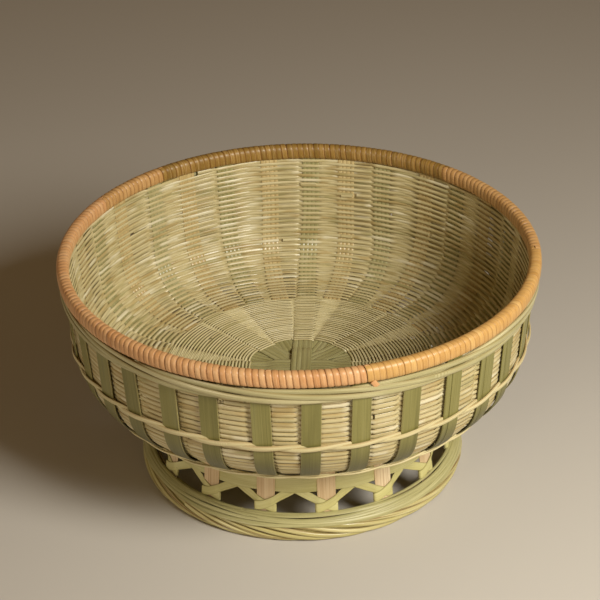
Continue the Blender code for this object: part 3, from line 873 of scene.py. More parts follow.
@dataclass
class Weave(Assembly):
    """Wefts that pass in front of one stake and behind the next."""

    seed: int = 11
    fine: Weft = Weft(
        width=1.20 * MM, thickness=0.70 * MM, pitch=0.94 * MM, gap_share=0.72, outer_share=1.0, stakes=16
    )
    coarse: Weft = Weft(
        width=1.90 * MM, thickness=0.76 * MM, pitch=1.53 * MM, gap_share=1.06, outer_share=1.50, stakes=32
    )
    wander: Wander = Wander(5, 0.26 * MM, 45 * MM)
    swing: float = 0.68 * MM
    first_radius: float = 28.6 * MM
    join_radius: float = 77.0 * MM
    top_height: float = 121.6 * MM
    stake_width: float = 10.0 * MM
    quick_change: tuple[Pair, ...] = ((0.07, 0.55), (0.18, -0.15), (0.32, -0.65), (0.56, -0.78), (0.82, -0.9))
    slow_change: tuple[tuple[float, float, float], ...] = (
        (0.08, -0.45, 0.80), (0.22, -0.02, 0.45), (0.48, 0.18, 0.18), (0.78, 0.45, -0.02), (0.93, 0.80, -0.45)
    )
    open_share: float = 0.22
    row_shift: float = 0.05 * MM
    row_bow: float = 0.08 * MM
    row_share: float = 0.05
    ripple_share: float = 0.04
    float_share: float = 0.07
    grain_reach: float = 3.0
    tags: int = 14
    tag_lengths: Pair = (6.0 * MM, 10.0 * MM)
    tag_starts: Pair = (-1.0 * MM, 2.0 * MM)
    tag_slope: float = 0.06
    tag_radius: float = 100.0 * MM
    tag_below_top: float = 4.0 * MM
    tag_lift: float = 0.15 * MM

    def course(self, radius: float, count: int, parity: int) -> tuple[np.ndarray, np.ndarray]:
        """Find the angles at which a row is bent, and the side on which it lies there.

        After a splint the rows change sides at once. After an added stake both kinds of
        row run along the inside, and each goes behind its stake only at its edge.

        Args:
            radius: Radius of the row.
            count: Number of stakes it passes.
            parity: Zero or one, for the stakes it passes inside.

        Returns:
            Angles from the first stake, and sides from one inside to minus one outside.
        """
        pitch = TURN / count
        edge = math.asin(min(self.stake_width / 2 / radius, 0.9)) / pitch
        near = np.array([-edge, -edge / 2, 0.0, edge / 2, edge])
        quick, slow = np.array(self.quick_change), np.array(self.slow_change)
        sign = -1.0 if parity else 1.0
        after_splint = np.concatenate([near, edge + (1 - 2 * edge) * quick[:, 0]])
        after_added = np.concatenate([near, edge + (1 - 2 * edge) * slow[:, 0]])
        splint_sides = np.concatenate([np.full(len(near), sign), sign * quick[:, 1]])
        added_sides = np.concatenate([np.full(len(near), -sign), slow[:, 1 + parity]])
        stakes = np.arange(count)[:, None]
        even = stakes % 2 == 0
        places = stakes + np.where(even, after_splint, after_added)
        return (places * pitch).ravel(), np.where(even, splint_sides, added_sides).ravel()

    def row(self, mesh: StrandMesh, weft: Weft, arc: float, parity: int, identity: float) -> None:
        """Add one round of weft.

        Args:
            mesh: Piece that it goes into.
            weft: Size of the weft.
            arc: Arc length at which it lies.
            parity: Zero or one, for the stakes it passes inside.
            identity: Number that its material tells it apart by.
        """
        bends, sides = self.course(BOWL.radius_at(arc), weft.stakes, parity)
        bends = bends + STAKES.first_spoke
        places = len(bends) // weft.stakes
        order = np.arange(len(bends) + 1) + int(self.rng.integers(0, weft.stakes)) * places
        if self.rng.random() < self.open_share:
            order = order[:-1]
        angles = bends[order % len(bends)] + TURN * (order // len(bends))
        side = sides[order % len(bends)]
        waves, phase = int(self.rng.integers(2, 9)), self.rng.uniform(0, TURN)
        own = self.rng.normal(0.0, self.row_shift) + self.row_bow * np.sin(angles * waves + phase)
        arcs = arc + self.wander(angles, arc) + own
        placed = BOWL.place(arcs, STAKES.leaning(angles, arcs), -side * self.swing)
        broad = np.interp(side, [-1.0, 0.0, 1.0], [weft.outer_share, weft.gap_share, 1.0])
        ripple = self.row_share * math.sin(identity) + self.ripple_share * np.sin(angles * 5 + identity)
        floats = np.repeat(self.rng.normal(0, self.float_share, len(angles) // 5 + 1), 5)[: len(angles)]
        outline = widened(pressed_weft(weft.width, weft.thickness), broad * (1 + ripple) * (1 + floats))
        mesh.sweep(*placed, outline, identity, self.start(self.grain_reach))

    def rows(self, name: str, weft: Weft, start: float, end: float, identity: float) -> list[StrandMesh]:
        """Lay rows of weft over a stretch of the bowl, turn about in two pieces.

        Args:
            name: First part of the pieces' names.
            weft: Size of the weft.
            start: Arc length at which the rows start.
            end: Arc length at which they end.
            identity: Number of the first row.

        Returns:
            The two pieces.
        """
        strands = [StrandMesh(f"{name}_first"), StrandMesh(f"{name}_second")]
        for index in range(int((end - start) / weft.pitch)):
            arc = start + (index + 0.5) * weft.pitch
            self.row(strands[index % 2], weft, arc, index % 2, identity + index)
        return strands

    def tag(self, mesh: StrandMesh, identity: float) -> None:
        """Add the cut end of a weft where it lies on a stake, inside the bowl.

        Args:
            mesh: Piece that it goes into.
            identity: Number that its material tells it apart by.
        """
        top = BOWL.arc_at_height(self.top_height) - self.tag_below_top
        arc = self.rng.uniform(BOWL.arc_at_radius(self.tag_radius), top)
        stake = int(self.rng.integers(0, 2 * STAKES.spokes))
        length = self.rng.uniform(*self.tag_lengths)
        start = -self.stake_width / 2 + self.rng.uniform(*self.tag_starts)
        run = np.linspace(start, start + length, 5)
        angles = STAKES.first_spoke + stake * STAKES.pitch + run / BOWL.radius_at(arc)
        arcs = arc + run * self.rng.uniform(-self.tag_slope, self.tag_slope)
        lift = self.swing + self.coarse.thickness / 2 + self.tag_lift
        placed = BOWL.place(arcs, STAKES.leaning(angles, arcs), -lift)
        outline = flat_strip(width=1.7 * MM, thickness=0.3 * MM, crown=0.1 * MM, edge=0.08 * MM)
        mesh.sweep(*placed, outline, identity, self.start(self.grain_reach))

    def build(self) -> Iterator[Piece]:
        """Build the fine wefts of the floor and the coarser ones of the wall.

        Yields:
            Each piece.
        """
        join, top = BOWL.arc_at_radius(self.join_radius), BOWL.arc_at_height(self.top_height)
        upper, lower = self.rows("floor_wefts", self.fine, self.first_radius, join, 200.0)
        yield upper.finish(self.finishes.fine_weft, "straw", "floor_weave_upper")
        yield lower.finish(self.finishes.fine_weft, "straw", "floor_weave_lower")
        inner, outer = self.rows("wall_wefts", self.coarse, join, top, 300.0)
        for index in range(self.tags):
            self.tag(inner, 380.0 + index)
        yield inner.finish(self.finishes.weft, "pale_straw", "wall_weave_inner")
        yield outer.finish(self.finishes.weft, "pale_straw", "wall_weave_outer")


@dataclass
class OuterStakes(Assembly):
    """Flat green stakes on the outside of the wall."""

    seed: int = 23
    width: float = 10.25 * MM
    width_share: float = 0.03
    thickness: float = 0.7 * MM
    crown: float = 0.12 * MM
    edge: float = 0.16 * MM
    split: tuple[int, ...] = (3, 4, 5, 9, 14, 20, 25)
    split_shares: Pair = (0.36, 0.64)
    split_gap: float = 0.1 * MM
    split_step: float = 0.12 * MM
    start_radius: float = 99.0 * MM
    offset: float = 1.70 * MM
    rim_offset: float = 0.95 * MM
    draw_in_heights: Pair = (113.5 * MM, 120.6 * MM)
    bow: float = 0.08 * MM
    bow_reach: float = 18.0 * MM
    tilt: float = 0.25
    tilt_height: float = 60.0 * MM
    slip: float = math.radians(0.5)
    front_slips: tuple[float, ...] = (-1.3, -1.15, -2.0, -0.8, -0.85, -0.55, 0.35, 0.7, 1.0)

    def slips(self) -> np.ndarray:
        """Find how far each stake sits from its even place.

        The nine stakes of the front are where the photograph shows them.

        Returns:
            Angle for each stake.
        """
        slips = self.rng.normal(0, self.slip, 2 * STAKES.spokes)
        half = len(self.front_slips) // 2
        for place, degrees in enumerate(self.front_slips):
            slips[place - half] = math.radians(degrees)
        return slips

    def build(self) -> Iterator[Piece]:
        """Build the thirty-two stakes, some of which are split along their length.

        Yields:
            The piece that holds them all.
        """
        mesh = StrandMesh("outer_stake_strips")
        start = BOWL.arc_at_radius(self.start_radius)
        arcs = np.linspace(start, BOWL.arc[-1], 48)
        heights = np.interp(arcs, BOWL.arc, BOWL.height)
        draw_in = eased(heights, *self.draw_in_heights)
        for index, slip in enumerate(self.slips()):
            width = self.width * (1 + self.rng.normal(0, self.width_share))
            bow = self.bow * np.sin((arcs - start) / self.bow_reach + self.rng.uniform(0, TURN))
            offset = self.offset + bow + (self.rim_offset - self.offset - bow) * draw_in
            tilt = math.radians(self.rng.normal(0, self.tilt)) * (heights - heights.mean()) / self.tilt_height
            angles = STAKES.first_outer + index * STAKES.pitch + slip + tilt
            line, _, outward = BOWL.place(arcs, angles, offset)
            side, left = tangents(angles), -width / 2
            for part, share in enumerate(self.split_shares if index in self.split else (1.0,)):
                broad = width * share
                middle = line + side * (left + broad / 2) + outward * (part * self.split_step)
                outline = flat_strip(broad - self.split_gap, self.thickness, self.crown, self.edge)
                mesh.sweep(middle, side, outward, outline, 400.0 + index + 40.0 * part)
                left += broad
        yield mesh.finish(self.finishes.olive_stake, "green_skin", "outer_stakes", sharp=FLAT_SHARP)


class Lay(Enum):
    """Way in which the strands of a band go round each other."""

    FALLING = 1
    RISING = -1


@dataclass
class LaidBand:
    """Strands that go round the basket and round each other.

    A band with a front is twined in step with the stakes. Any other has a loose lay.
    """

    name: str
    section: Section
    arc: float
    offset: float
    strands: int
    turns: float
    half_height: float
    half_depth: float
    strand_height: float
    strand_depth: float
    steps: int
    seed: int
    lay: Lay = Lay.FALLING
    front: Optional[float] = None
    drift: float = 0.2
    ripple: float = 0.15
    steepest: float = 0.0
    spread: float = 0.0
    swell: float = 0.08
    overlap: float = 0.06

    def build(
        self, material: Material, slot: str, nodes: tuple[str, ...], identity: float
    ) -> Piece:
        """Build the band.

        Args:
            material: Material of the strands.
            slot: Slot of the record that it belongs to.
            nodes: Solids that the band replaces.
            identity: Number of its first strand.

        Returns:
            The band's object.
        """
        rng = np.random.default_rng(self.seed)
        mesh = StrandMesh(self.name)
        wander = Wander(self.seed + 40, 0.10 * MM, 50 * MM)
        for index in range(self.strands):
            angles = np.linspace(0.0, TURN + self.overlap, self.steps + 1) + rng.uniform(0, TURN)
            uneven = math.pi / 2
            if self.front is None:
                uneven = self.ripple * np.sin(angles * 3 + rng.uniform(0, TURN))
                uneven = self.drift * np.sin(angles - self.steepest) + uneven
            turned = self.turns * (angles - (self.front or 0.0))
            phase = self.lay.value * turned + TURN * index / self.strands + uneven
            arcs = self.arc + self.half_height * np.cos(phase) + wander(angles, index * 10 * MM)
            placed = self.section.place(arcs, angles, self.offset + self.half_depth * np.sin(phase))
            swell = 1 + self.swell * np.sin(angles * 4 + rng.uniform(0, TURN)) + self.spread * rng.normal()
            outline = oval(self.strand_height, self.strand_depth, 10)[None] * swell[:, None, None]
            mesh.sweep(*placed, outline, identity + index, float(rng.uniform(0, 2)))
        return mesh.finish(material, slot, *nodes)


@dataclass
class Bands(Assembly):
    """Top, middle and low band of the bowl, which hold the outer stakes."""

    top_height: float = 116.5 * MM
    mid_height: float = 83.8 * MM
    low_turn_radius: float = 109.2 * MM

    def build(self) -> Iterator[Piece]:
        """Build the three bands.

        Yields:
            Each band.
        """
        yield LaidBand(
            "top_band", BOWL, BOWL.arc_at_height(self.top_height), offset=3.0 * MM, strands=4, turns=3.0,
            half_height=3.05 * MM, half_depth=0.55 * MM, strand_height=3.3 * MM, strand_depth=1.5 * MM,
            steps=384, seed=3, drift=0.6,
        ).build(self.finishes.band, "pale_green", ("top_band_lower", "top_band_upper"), 500.0)
        yield LaidBand(
            "mid_band", BOWL, BOWL.arc_at_height(self.mid_height), offset=2.25 * MM, strands=2, turns=16.0,
            half_height=0.75 * MM, half_depth=0.95 * MM, strand_height=2.9 * MM, strand_depth=1.3 * MM,
            steps=640, seed=4, lay=Lay.RISING, front=STAKES.first_outer,
        ).build(self.finishes.twine, "pale_straw", ("mid_band_lower", "mid_band_upper"), 510.0)
        yield LaidBand(
            "low_band_pair", BOWL, BOWL.arc_at_radius(self.low_turn_radius), offset=2.6 * MM, strands=2,
            turns=16.0, half_height=0.5 * MM, half_depth=0.6 * MM, strand_height=1.8 * MM,
            strand_depth=1.2 * MM, steps=640, seed=5, lay=Lay.RISING, front=STAKES.first_outer,
        ).build(self.finishes.twine, "pale_straw", ("low_band",), 520.0)


@dataclass
class Rim(Assembly):
    """Cane wound round the hoops at the mouth of the bowl, one length after the other.

    A splice is the angle in degrees at which a length starts, and the length's cane.
    The crowns say how round each colour of cane is, from one to zero for a flat face.
    """

    seed: int = 31
    outer_radius: float = 130.0 * MM
    width: float = 7.0 * MM
    height: float = 9.2 * MM
    top: float = 130.2 * MM
    turns: int = 247
    cane_width: float = 3.34 * MM
    cane_thickness: float = 0.85 * MM
    cane_depth: float = 0.02 * MM
    roundness: float = 0.72
    steps_per_turn: int = 18
    turn_slip: float = 0.045
    turn_sink: float = 0.12 * MM
    splices: tuple[tuple[float, Cane], ...] = (
        (-141.5, Cane.TAN), (-120.0, Cane.PINK), (-7.0, Cane.PINK),
        (15.0, Cane.AMBER), (88.0, Cane.TAN), (137.0, Cane.BROWN),
    )
    splice_gap: float = 0.012
    end_reach: float = 0.9
    end_share: float = 0.93
    cut_ends: Pair = (15.6, -119.0)
    cut_length: float = 4.2 * MM
    cut_inset: float = 0.9 * MM
    cut_above: float = 1.2 * MM
    cut_bend: float = 0.5 * MM
    cut_slope: Pair = (0.55, 0.8)
    crowns: tuple[float, ...] = (0.82, 0.26, 0.62, 0.75)
    hoop_height: float = 125.6 * MM
    hoop_inset: float = 1.05 * MM
    hoop_overlap: float = 0.04

    def __post_init__(self) -> None:
        """Draw how far each turn slips along the rim and sinks into it."""
        super().__post_init__()
        self.slips = np.append(self.rng.normal(0, self.turn_slip, self.turns), 0.0) * TURN / self.turns
        self.sinks = np.append(self.rng.uniform(0.0, self.turn_sink, self.turns), 0.0)

    def ring(
        self, around: np.ndarray, angles: np.ndarray, sink: np.ndarray | float
    ) -> tuple[np.ndarray, np.ndarray]:
        """Find points on the rim's own section.

        Args:
            around: Turn round the section, zero on top and growing outward.
            angles: Angles round the basket.
            sink: Depth below the outer surface.

        Returns:
            Points, and unit vectors away from the section's middle.
        """
        sine, cosine = np.sin(around), np.cos(around)
        out = np.sign(sine) * np.abs(sine) ** self.roundness * (self.width / 2 - sink)
        up = np.sign(cosine) * np.abs(cosine) ** self.roundness * (self.height / 2 - sink)
        way = directions(angles)
        points = way * (self.outer_radius - self.width / 2 + out)[:, None]
        points = points + UP * (self.top - self.height / 2 + up)[:, None]
        return points, unit(way * (sine / self.width)[:, None] + UP * (cosine / self.height)[:, None])

    def cane_outline(self, crown: float) -> np.ndarray:
        """Outline the cane, flat inside and softly rounded outside.

        Args:
            crown: How round it is, one for a full curve and zero for a flat face.

        Returns:
            The outline's points, across and outward.
        """
        right = [(1.0, -1.0), (0.99, 1 - 1.30 * crown), (0.86, 1 - 0.62 * crown), (0.54, 1 - 0.17 * crown)]
        corners = right + [(0.0, 1.0)] + [(-x, y) for x, y in reversed(right)]
        return np.array(corners) * (self.cane_width / 2, self.cane_thickness / 2)

    def length(self, mesh: StrandMesh, first: int, last: int, cane: Cane, identity: float) -> None:
        """Wind one length of cane.

        Args:
            mesh: Piece that it goes into.
            first: Number of its first turn.
            last: Number of the turn at which the next length starts.
            cane: Its colour.
            identity: Number that its material tells it apart by.
        """
        turn = np.linspace(first, last - self.splice_gap, (last - first) * self.steps_per_turn + 1)
        places = np.arange(self.turns + 1)
        angles = turn / self.turns * TURN + np.interp(turn % self.turns, places, self.slips)
        sink = self.cane_thickness / 2 + self.cane_depth + np.interp(turn % self.turns, places, self.sinks)
        line, away = self.ring(turn * TURN, angles, sink)
        run = unit(np.gradient(line, axis=0))
        across = unit(np.cross(away, run))
        from_end = np.minimum(turn - turn[0], turn[-1] - turn)
        broad = self.end_share + (1 - self.end_share) * eased(from_end, 0.0, self.end_reach)
        outline = widened(self.cane_outline(self.crowns[cane.value]), broad)
        mesh.sweep(line, across, np.cross(run, across), outline, identity, finish=cane.value)

    def cut_end(self, mesh: StrandMesh, angle: float, identity: float) -> None:
        """Add the end of a length of cane where it comes out under the rim.

        Args:
            mesh: Piece that it goes into.
            angle: Angle at which it comes out.
            identity: Number that its material tells it apart by.
        """
        out, side = directions(np.array(angle)), tangents(np.array(angle))
        run = unit(side * self.cut_slope[0] - UP * self.cut_slope[1])
        start = out * (self.outer_radius - self.cut_inset) + UP * (self.top - self.height + self.cut_above)
        shares = np.linspace(0.0, 1.0, 5)[:, None]
        line = start + run * self.cut_length * shares - out * self.cut_bend * shares
        outline = flat_strip(width=3.0 * MM, thickness=0.45 * MM, crown=0.15 * MM, edge=0.1 * MM)
        mesh.sweep(line, np.cross(out, run), out, outline, identity)

    def build(self) -> Iterator[Piece]:
        """Build the winding and the inner hoop, which shows only between the turns.

        Yields:
            Each of the two pieces.
        """
        mesh = StrandMesh("rim_winding")
        starts = [round(math.radians(angle) / TURN * self.turns) for angle, _ in self.splices]
        lasts = starts[1:] + [starts[0] + self.turns]
        for index, (first, last) in enumerate(zip(starts, lasts)):
            self.length(mesh, first, last, self.splices[index][1], 600.0 + index)
        for index, angle in enumerate(self.cut_ends):
            self.cut_end(mesh, math.radians(angle), 610.0 + index)
        yield mesh.finish(self.finishes.canes, "amber_cane", "rim_binding", sharp=80.0)
        angles = np.linspace(0.0, TURN + self.hoop_overlap, 161)
        placed = BOWL.place(BOWL.arc_at_height(self.hoop_height), angles, -self.hoop_inset)
        mesh = StrandMesh("rim_inner_hoop_strip")
        outline = flat_strip(width=4.4 * MM, thickness=1.0 * MM, crown=0.0, edge=0.2 * MM)
        mesh.sweep(*placed, outline, 650.0)
        yield mesh.finish(self.finishes.twine, "straw", "rim_inner_hoop", sharp=FLAT_SHARP)


@dataclass
class FootLattice(Assembly):
    """Uprights, slanting strips and hoops of the foot.

    How far a slanting strip lies before or behind its upright is counted in thicknesses of
    the strip, as the place of the lower one and the step from it to the upper one.
    """

    seed: int = 41
    slanting_seed: int = 43
    upright_width: float = 9.8 * MM
    upright_thickness: float = 0.6 * MM
    upright_base: float = 1.2 * MM
    cross_height: float = 19.2 * MM
    peak_height: float = 28.3 * MM
    strip_width: float = 4.7 * MM
    strip_thickness: float = 0.42 * MM
    strip_clearance: float = 0.1 * MM
    strip_depth: float = 0.6 * MM
    front_layers: Pair = (0.75, 1.15)
    back_layers: Pair = (0.8, 1.1)
    fold_drop: float = 1.6
    upper_reach: Pair = (1.2 * MM, 2.6 * MM)
    lower_reach: float = 1.0 * MM
    under_reach: float = 2.5 * MM
    height_slip: float = 0.25 * MM
    side_slip: float = 0.10 * MM
    hoop_base: float = 27.1 * MM
    hoop_height: float = 9.2 * MM
    hoop_depth: float = 0.25 * MM
    hoop_swing: float = 0.35 * MM
    hoop_ripple: float = 0.2 * MM
    hoop_start: float = 2.0
    inner_middle: float = 7.0 * MM
    inner_depth: float = 1.25 * MM
    top_height: float = 51.2 * MM
    overlap: float = 0.05

    def uprights(self) -> Iterator[Piece]:
        """Build the sixteen uprights.

        Yields:
            Each upright.
        """
        heights = np.linspace(self.upright_base, self.top_height, 24)
        outline = flat_strip(self.upright_width, self.upright_thickness, 0.05 * MM, 0.15 * MM)
        for index in range(STAKES.spokes):
            angle = STAKES.added(index)
            line, _, outward = FOOT.place(heights, angle, 0.0)
            mesh = StrandMesh(f"upright_{index + 1}")
            mesh.sweep(line, tangents(np.array(angle)), outward, outline, 700.0 + index, self.start(1.0))
            node = f"foot_upright_{index + 1}"
            yield mesh.finish(self.finishes.upright, "pink_tan", node, sharp=FLAT_SHARP)

    def slanting_strip(
        self,
        mesh: StrandMesh,
        angle: float,
        side: int,
        layer: float,
        rng: np.random.Generator,
        identity: float,
    ) -> None:
        """Add one strip, from behind the bowl down across its upright and round its edge.

        On its way up it passes from before the uprights to behind the hoop. Its upper edge
        goes behind at once and its lower edge slowly, so that the strip twists.

        Args:
            mesh: Piece that it goes into.
            angle: Angle of its upright.
            side: One if it comes from the right, minus one from the left.
            layer: Zero for the strips that lie under the others.
            rng: Source of its unevenness.
            identity: Number that its material tells it apart by.
        """
        radius = FOOT.radius_at(self.cross_height)
        half_gap = radius * STAKES.pitch
        slope = (self.peak_height - self.cross_height) / half_gap
        half_height = self.strip_width / 2 * math.hypot(1.0, slope)
        first, step = self.front_layers
        front = self.upright_thickness / 2 + self.strip_thickness * (first + step * layer)
        first, step = self.back_layers
        back = -self.upright_thickness / 2 - self.strip_thickness * (first + step * layer)
        edge = self.upright_width / 2 + self.strip_clearance
        down = np.linspace((self.top_height - half_height - self.cross_height) / slope, -edge, 44)
        deep = back - self.strip_depth - front
        upper_edge = front + deep * eased(down, edge - self.upper_reach[0], edge + self.upper_reach[1])
        lower_edge = front + deep * np.clip((down - edge + self.lower_reach) / (half_gap - edge), 0.0, 1.0)
        twist = np.arcsin((lower_edge - upper_edge) / (2 * half_height))
        height = self.cross_height + slope * np.where(down > 0, down, down * (1 + down / (2 * edge)))
        fold = np.linspace(0.0, math.pi, 8)[1:-1]
        bend = (front - back) / 2
        under = np.linspace(-edge, self.under_reach, 6)
        low = self.cross_height - slope * edge / 2
        x = np.concatenate([down, -edge - bend * np.sin(fold), under])
        lower_end = low - slope * (bend * self.fold_drop + under + edge)
        z = np.concatenate([height, low - slope * bend * fold / 2, lower_end])
        folded = (front + back) / 2 + bend * np.cos(fold)
        offset = np.concatenate([(upper_edge + lower_edge) / 2, folded, np.full_like(under, back)])
        lean = np.concatenate([np.zeros_like(down), fold, np.full_like(under, math.pi)])[:, None]
        tilt = np.concatenate([twist, np.zeros(len(fold) + len(under))])[:, None]
        z = z + rng.normal(0, self.height_slip)
        x = x + rng.normal(0, self.side_slip)
        angles = angle + side * x / radius
        line, along, outward = FOOT.place(z, angles, offset)
        facing = outward * np.cos(lean) - tangents(angles) * side * np.sin(lean)
        facing = facing * np.cos(tilt) + UP * np.sin(tilt)
        outline = flat_strip(2 * half_height, self.strip_thickness, 0.05 * MM, 0.1 * MM)
        mesh.sweep(line, along, facing, outline, identity, float(rng.uniform(0, 2)))

    def slanting(self) -> Piece:
        """Build the thirty-two slanting strips, folded behind their uprights.

        Returns:
            The piece that holds them all.
        """
        rng = np.random.default_rng(self.slanting_seed)
        mesh = StrandMesh("slanting_strips")
        for index in range(STAKES.spokes):
            for side, layer in ((1, 1.0), (-1, 0.0)):
                self.slanting_strip(mesh, STAKES.added(index), side, layer, rng, 730.0 + 2 * index + side)
        return mesh.finish(self.finishes.foot_strip, "pale_green", "foot_trellis", sharp=FLAT_SHARP)

    def hoop(self) -> Piece:
        """Build the flat hoop that runs behind the uprights and before the slanting strips.

        Returns:
            The hoop.
        """
        angles = np.linspace(0.0, TURN + self.overlap, 321) + self.hoop_start
        swing = self.hoop_swing * np.cos((angles - STAKES.added(0)) * STAKES.spokes)
        middle = self.hoop_base + self.hoop_height / 2 + self.hoop_ripple * np.sin(angles * 3)
        outline = flat_strip(self.hoop_height, 0.4 * MM, 0.08 * MM, 0.12 * MM)
        placed = FOOT.place(middle, angles, -self.hoop_depth - swing)
        mesh = StrandMesh("foot_hoop_strip").sweep(*placed, outline, 790.0)
        return mesh.finish(self.finishes.hoop_strip, "pale_green", "foot_hoop", sharp=FLAT_SHARP)

    def inner_band(self) -> Piece:
        """Build the band behind the uprights, at the border.

        Returns:
            The band.
        """
        placed = FOOT.place(self.inner_middle, np.linspace(0.0, TURN + self.overlap, 193), -self.inner_depth)
        outline = flat_strip(width=12.0 * MM, thickness=0.9 * MM, crown=0.1 * MM, edge=0.2 * MM)
        mesh = StrandMesh("foot_inner_strip").sweep(*placed, outline, 795.0)
        return mesh.finish(self.finishes.twine, "straw", "foot_inner_band", sharp=FLAT_SHARP)

    def build(self) -> Iterator[Piece]:
        """Build every strip of the lattice.

        Yields:
            Each piece.
        """
        yield from self.uprights()
        yield self.slanting()
        yield self.hoop()
        yield self.inner_band()


@dataclass
class FootBorder(Assembly):
    """Thick laid strands that stand on the table, and flat strips on their shoulder.

    The shoulder's section is radius and height of its foot, its top and its inner edge.
    """

    seed: int = 47
    radius: float = 87.85 * MM
    middle_height: float = 5.68 * MM
    core_lift: float = 0.4 * MM
    core_depth: float = 0.5 * MM
    core_overlap: float = 0.05
    shoulder: tuple[Pair, ...] = ((89.2 * MM, 9.6 * MM), (86.2 * MM, 14.5 * MM), (84.7 * MM, 14.3 * MM))
    strips: int = 9
    strip_lengths: Pair = (0.86, 1.0)
    strip_drifts: Pair = (0.13, 0.06)
    strip_lift: float = 0.2 * MM
    layer_pitch: float = 0.28 * MM
    layers: int = 3

    def strands(self) -> Iterator[Piece]:
        """Build the seven laid strands and the core that they lie round.

        Yields:
            Each of the two pieces.
        """
        straight = Section(np.array([self.radius, self.radius]), np.array([0.0, 20.0 * MM]))
        yield LaidBand(
            "foot_border_strands", straight, self.middle_height, offset=0.0, strands=7, turns=3.5,
            half_height=4.1 * MM, half_depth=1.3 * MM, strand_height=3.0 * MM, strand_depth=2.4 * MM,
            steps=420, seed=7, drift=1.5, spread=0.06, steepest=math.radians(-45),
        ).build(self.finishes.border, "pale_green", ("foot_border_lower", "foot_border_upper"), 800.0)
        angles = np.linspace(0.0, TURN + self.core_overlap, 257)
        placed = straight.place(self.middle_height + self.core_lift, angles, -self.core_depth)
        mesh = StrandMesh("foot_border_core").sweep(*placed, oval(9.0 * MM, 2.2 * MM, 12), 812.0)
        yield mesh.finish(self.finishes.border, "pale_green", "foot_border_middle")

    def shoulder_strips(self) -> Piece:
        """Build the flat strips on the border's shoulder.

        Returns:
            The piece that holds them all.
        """
        slope = Section(*np.array(self.shoulder).T)
        outline = flat_strip(width=2.0 * MM, thickness=0.5 * MM, crown=0.22 * MM, edge=0.12 * MM)
        mesh = StrandMesh("foot_shoulder_strips")
        for index in range(self.strips):
            start = self.rng.uniform(0, TURN)
            angles = start + np.linspace(0.0, TURN * self.rng.uniform(*self.strip_lengths), 257)
            long_wave = self.strip_drifts[0] * np.sin(angles * 2 + self.rng.uniform(0, TURN))
            drift = long_wave + self.strip_drifts[1] * np.sin(angles * 5 + index)
            arcs = slope.arc[-1] * ((index + 0.5) / self.strips + drift)
            lift = self.strip_lift + self.layer_pitch * (index % self.layers)
            lift = lift + self.strip_lift * np.sin(angles * 3 + self.rng.uniform(0, TURN))
            mesh.sweep(*slope.place(arcs, angles, lift), outline, 820.0 + index, self.start(2.0))
        nodes = ("foot_ring_strip_lower", "foot_ring_strip_upper")
        return mesh.finish(self.finishes.shoulder, "pale_green", *nodes, sharp=FLAT_SHARP)

    def build(self) -> Iterator[Piece]:
        """Build the border and the strips above it.

        Yields:
            Each piece.
        """
        yield from self.strands()
        yield self.shoulder_strips()


@dataclass(frozen=True)
class SoftLight:
    """A square soft light that looks at the basket, with its angles in degrees and its power in watts."""

    name: str
    azimuth: float
    elevation: float
    distance: float
    size: float
    power: float
    colour: str
    target_height: float = 70.0 * MM

    def build(self) -> None:
        """Hang the light."""
        data = bpy.data.lights.new(self.name, "AREA")
        data.energy = self.power
        data.size = self.size
        data.color = linear(self.colour)[:3]
        light = bpy.data.objects.new(self.name, data)
        middle = Vector((0.0, 0.0, self.target_height))
        elevation = math.radians(self.elevation)
        way = Vector(directions(np.array(math.radians(self.azimuth)))) * math.cos(elevation)
        way.z = math.sin(elevation)
        light.location = middle + way * self.distance
        light.rotation_euler = (-way).to_track_quat("-Z", "Y").to_euler()
        bpy.context.scene.collection.objects.link(light)


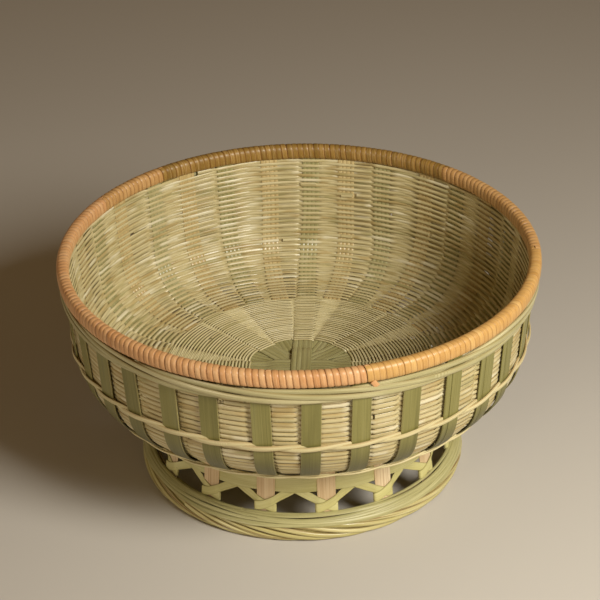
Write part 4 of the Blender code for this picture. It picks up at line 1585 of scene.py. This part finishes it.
@dataclass
class Studio:
    """Plain pale floor, soft light and the camera.

    The camera was fitted to the photograph, where the rim's middle lies at rim_pixel.
    """

    floor_reach: float = 3.0
    floor_colour: str = "#C9C4BB"
    floor_roughness: float = 0.85
    ambient_colour: str = "#F0BE74"
    ambient_strength: float = 0.125
    key: SoftLight = SoftLight(
        "key", azimuth=42.0, elevation=36.5, distance=0.95, size=0.32, power=9.8, colour="#FFFAF0"
    )
    fill: SoftLight = SoftLight(
        "fill", azimuth=-38.0, elevation=8.0, distance=1.4, size=0.35, power=3.2, colour="#FFF2E0"
    )
    lens: float = 119.89
    sensor: float = 36.0
    distance: float = 1074.87 * MM
    elevation: float = 30.016
    roll: float = -1.158
    frame_pixels: float = 600.0
    rim_pixel: Pair = (298.79, 253.33)
    focal_pixels: float = 1998.15
    rim_height: float = 125.74 * MM

    def floor(self) -> None:
        """Lay the plain pale floor."""
        mesh = bpy.data.meshes.new("studio_floor")
        size = self.floor_reach
        corners = [(-size, -size, 0.0), (size, -size, 0.0), (size, size, 0.0), (-size, size, 0.0)]
        mesh.from_pydata(corners, [], [(0, 1, 2, 3)])
        floor = bpy.data.objects.new("studio_floor", mesh)
        bpy.context.scene.collection.objects.link(floor)
        material = bpy.data.materials.new("pale matt floor")
        material.use_nodes = True
        shader = material.node_tree.nodes["Principled BSDF"]
        shader.inputs["Base Color"].default_value = linear(self.floor_colour)
        shader.inputs["Roughness"].default_value = self.floor_roughness
        mesh.materials.append(material)

    def lights(self) -> None:
        """Set the soft studio light."""
        world = bpy.data.worlds.new("studio")
        bpy.context.scene.world = world
        world.use_nodes = True
        back = world.node_tree.nodes["Background"]
        back.inputs[0].default_value = linear(self.ambient_colour)
        back.inputs[1].default_value = self.ambient_strength
        bpy.context.scene.view_settings.view_transform = "Standard"
        self.key.build()
        self.fill.build()

    def camera(self) -> None:
        """Set the camera where the photograph was taken from."""
        data = bpy.data.cameras.new("photograph_view")
        data.lens = self.lens
        data.sensor_width = self.sensor
        data.sensor_fit = "HORIZONTAL"
        data.clip_start = 0.01
        camera = bpy.data.objects.new("photograph_view", data)
        tilt = Euler((math.radians(90 - self.elevation), 0.0, 0.0)).to_matrix()
        turned = tilt @ Euler((0.0, 0.0, math.radians(self.roll))).to_matrix()
        right, up, back = turned.col[0], turned.col[1], turned.col[2]
        across = (self.rim_pixel[0] - self.frame_pixels / 2) / self.focal_pixels
        above = (self.frame_pixels / 2 - self.rim_pixel[1]) / self.focal_pixels
        ray = -back + right * across + up * above
        camera.rotation_euler = turned.to_euler()
        camera.location = Vector((0.0, 0.0, self.rim_height)) - ray * self.distance
        bpy.context.scene.collection.objects.link(camera)
        bpy.context.scene.camera = camera

    def build(self) -> None:
        """Build floor, lights and camera."""
        self.floor()
        self.lights()
        self.camera()


def main() -> None:
    """Build every piece of the basket and the studio."""
    logging.basicConfig(level=logging.INFO, format="%(message)s")
    finishes = Finishes()
    for assembly in (BowlStakes, Weave, OuterStakes, Bands, Rim, FootLattice, FootBorder):
        for piece in assembly(finishes).build():
            LOG.info("%s: %s, %d faces", assembly.__name__, piece.name, len(piece.data.polygons))
    Studio().build()
    LOG.info("Studio: floor, two lights and the camera")


if __name__ == "__main__":
    main()
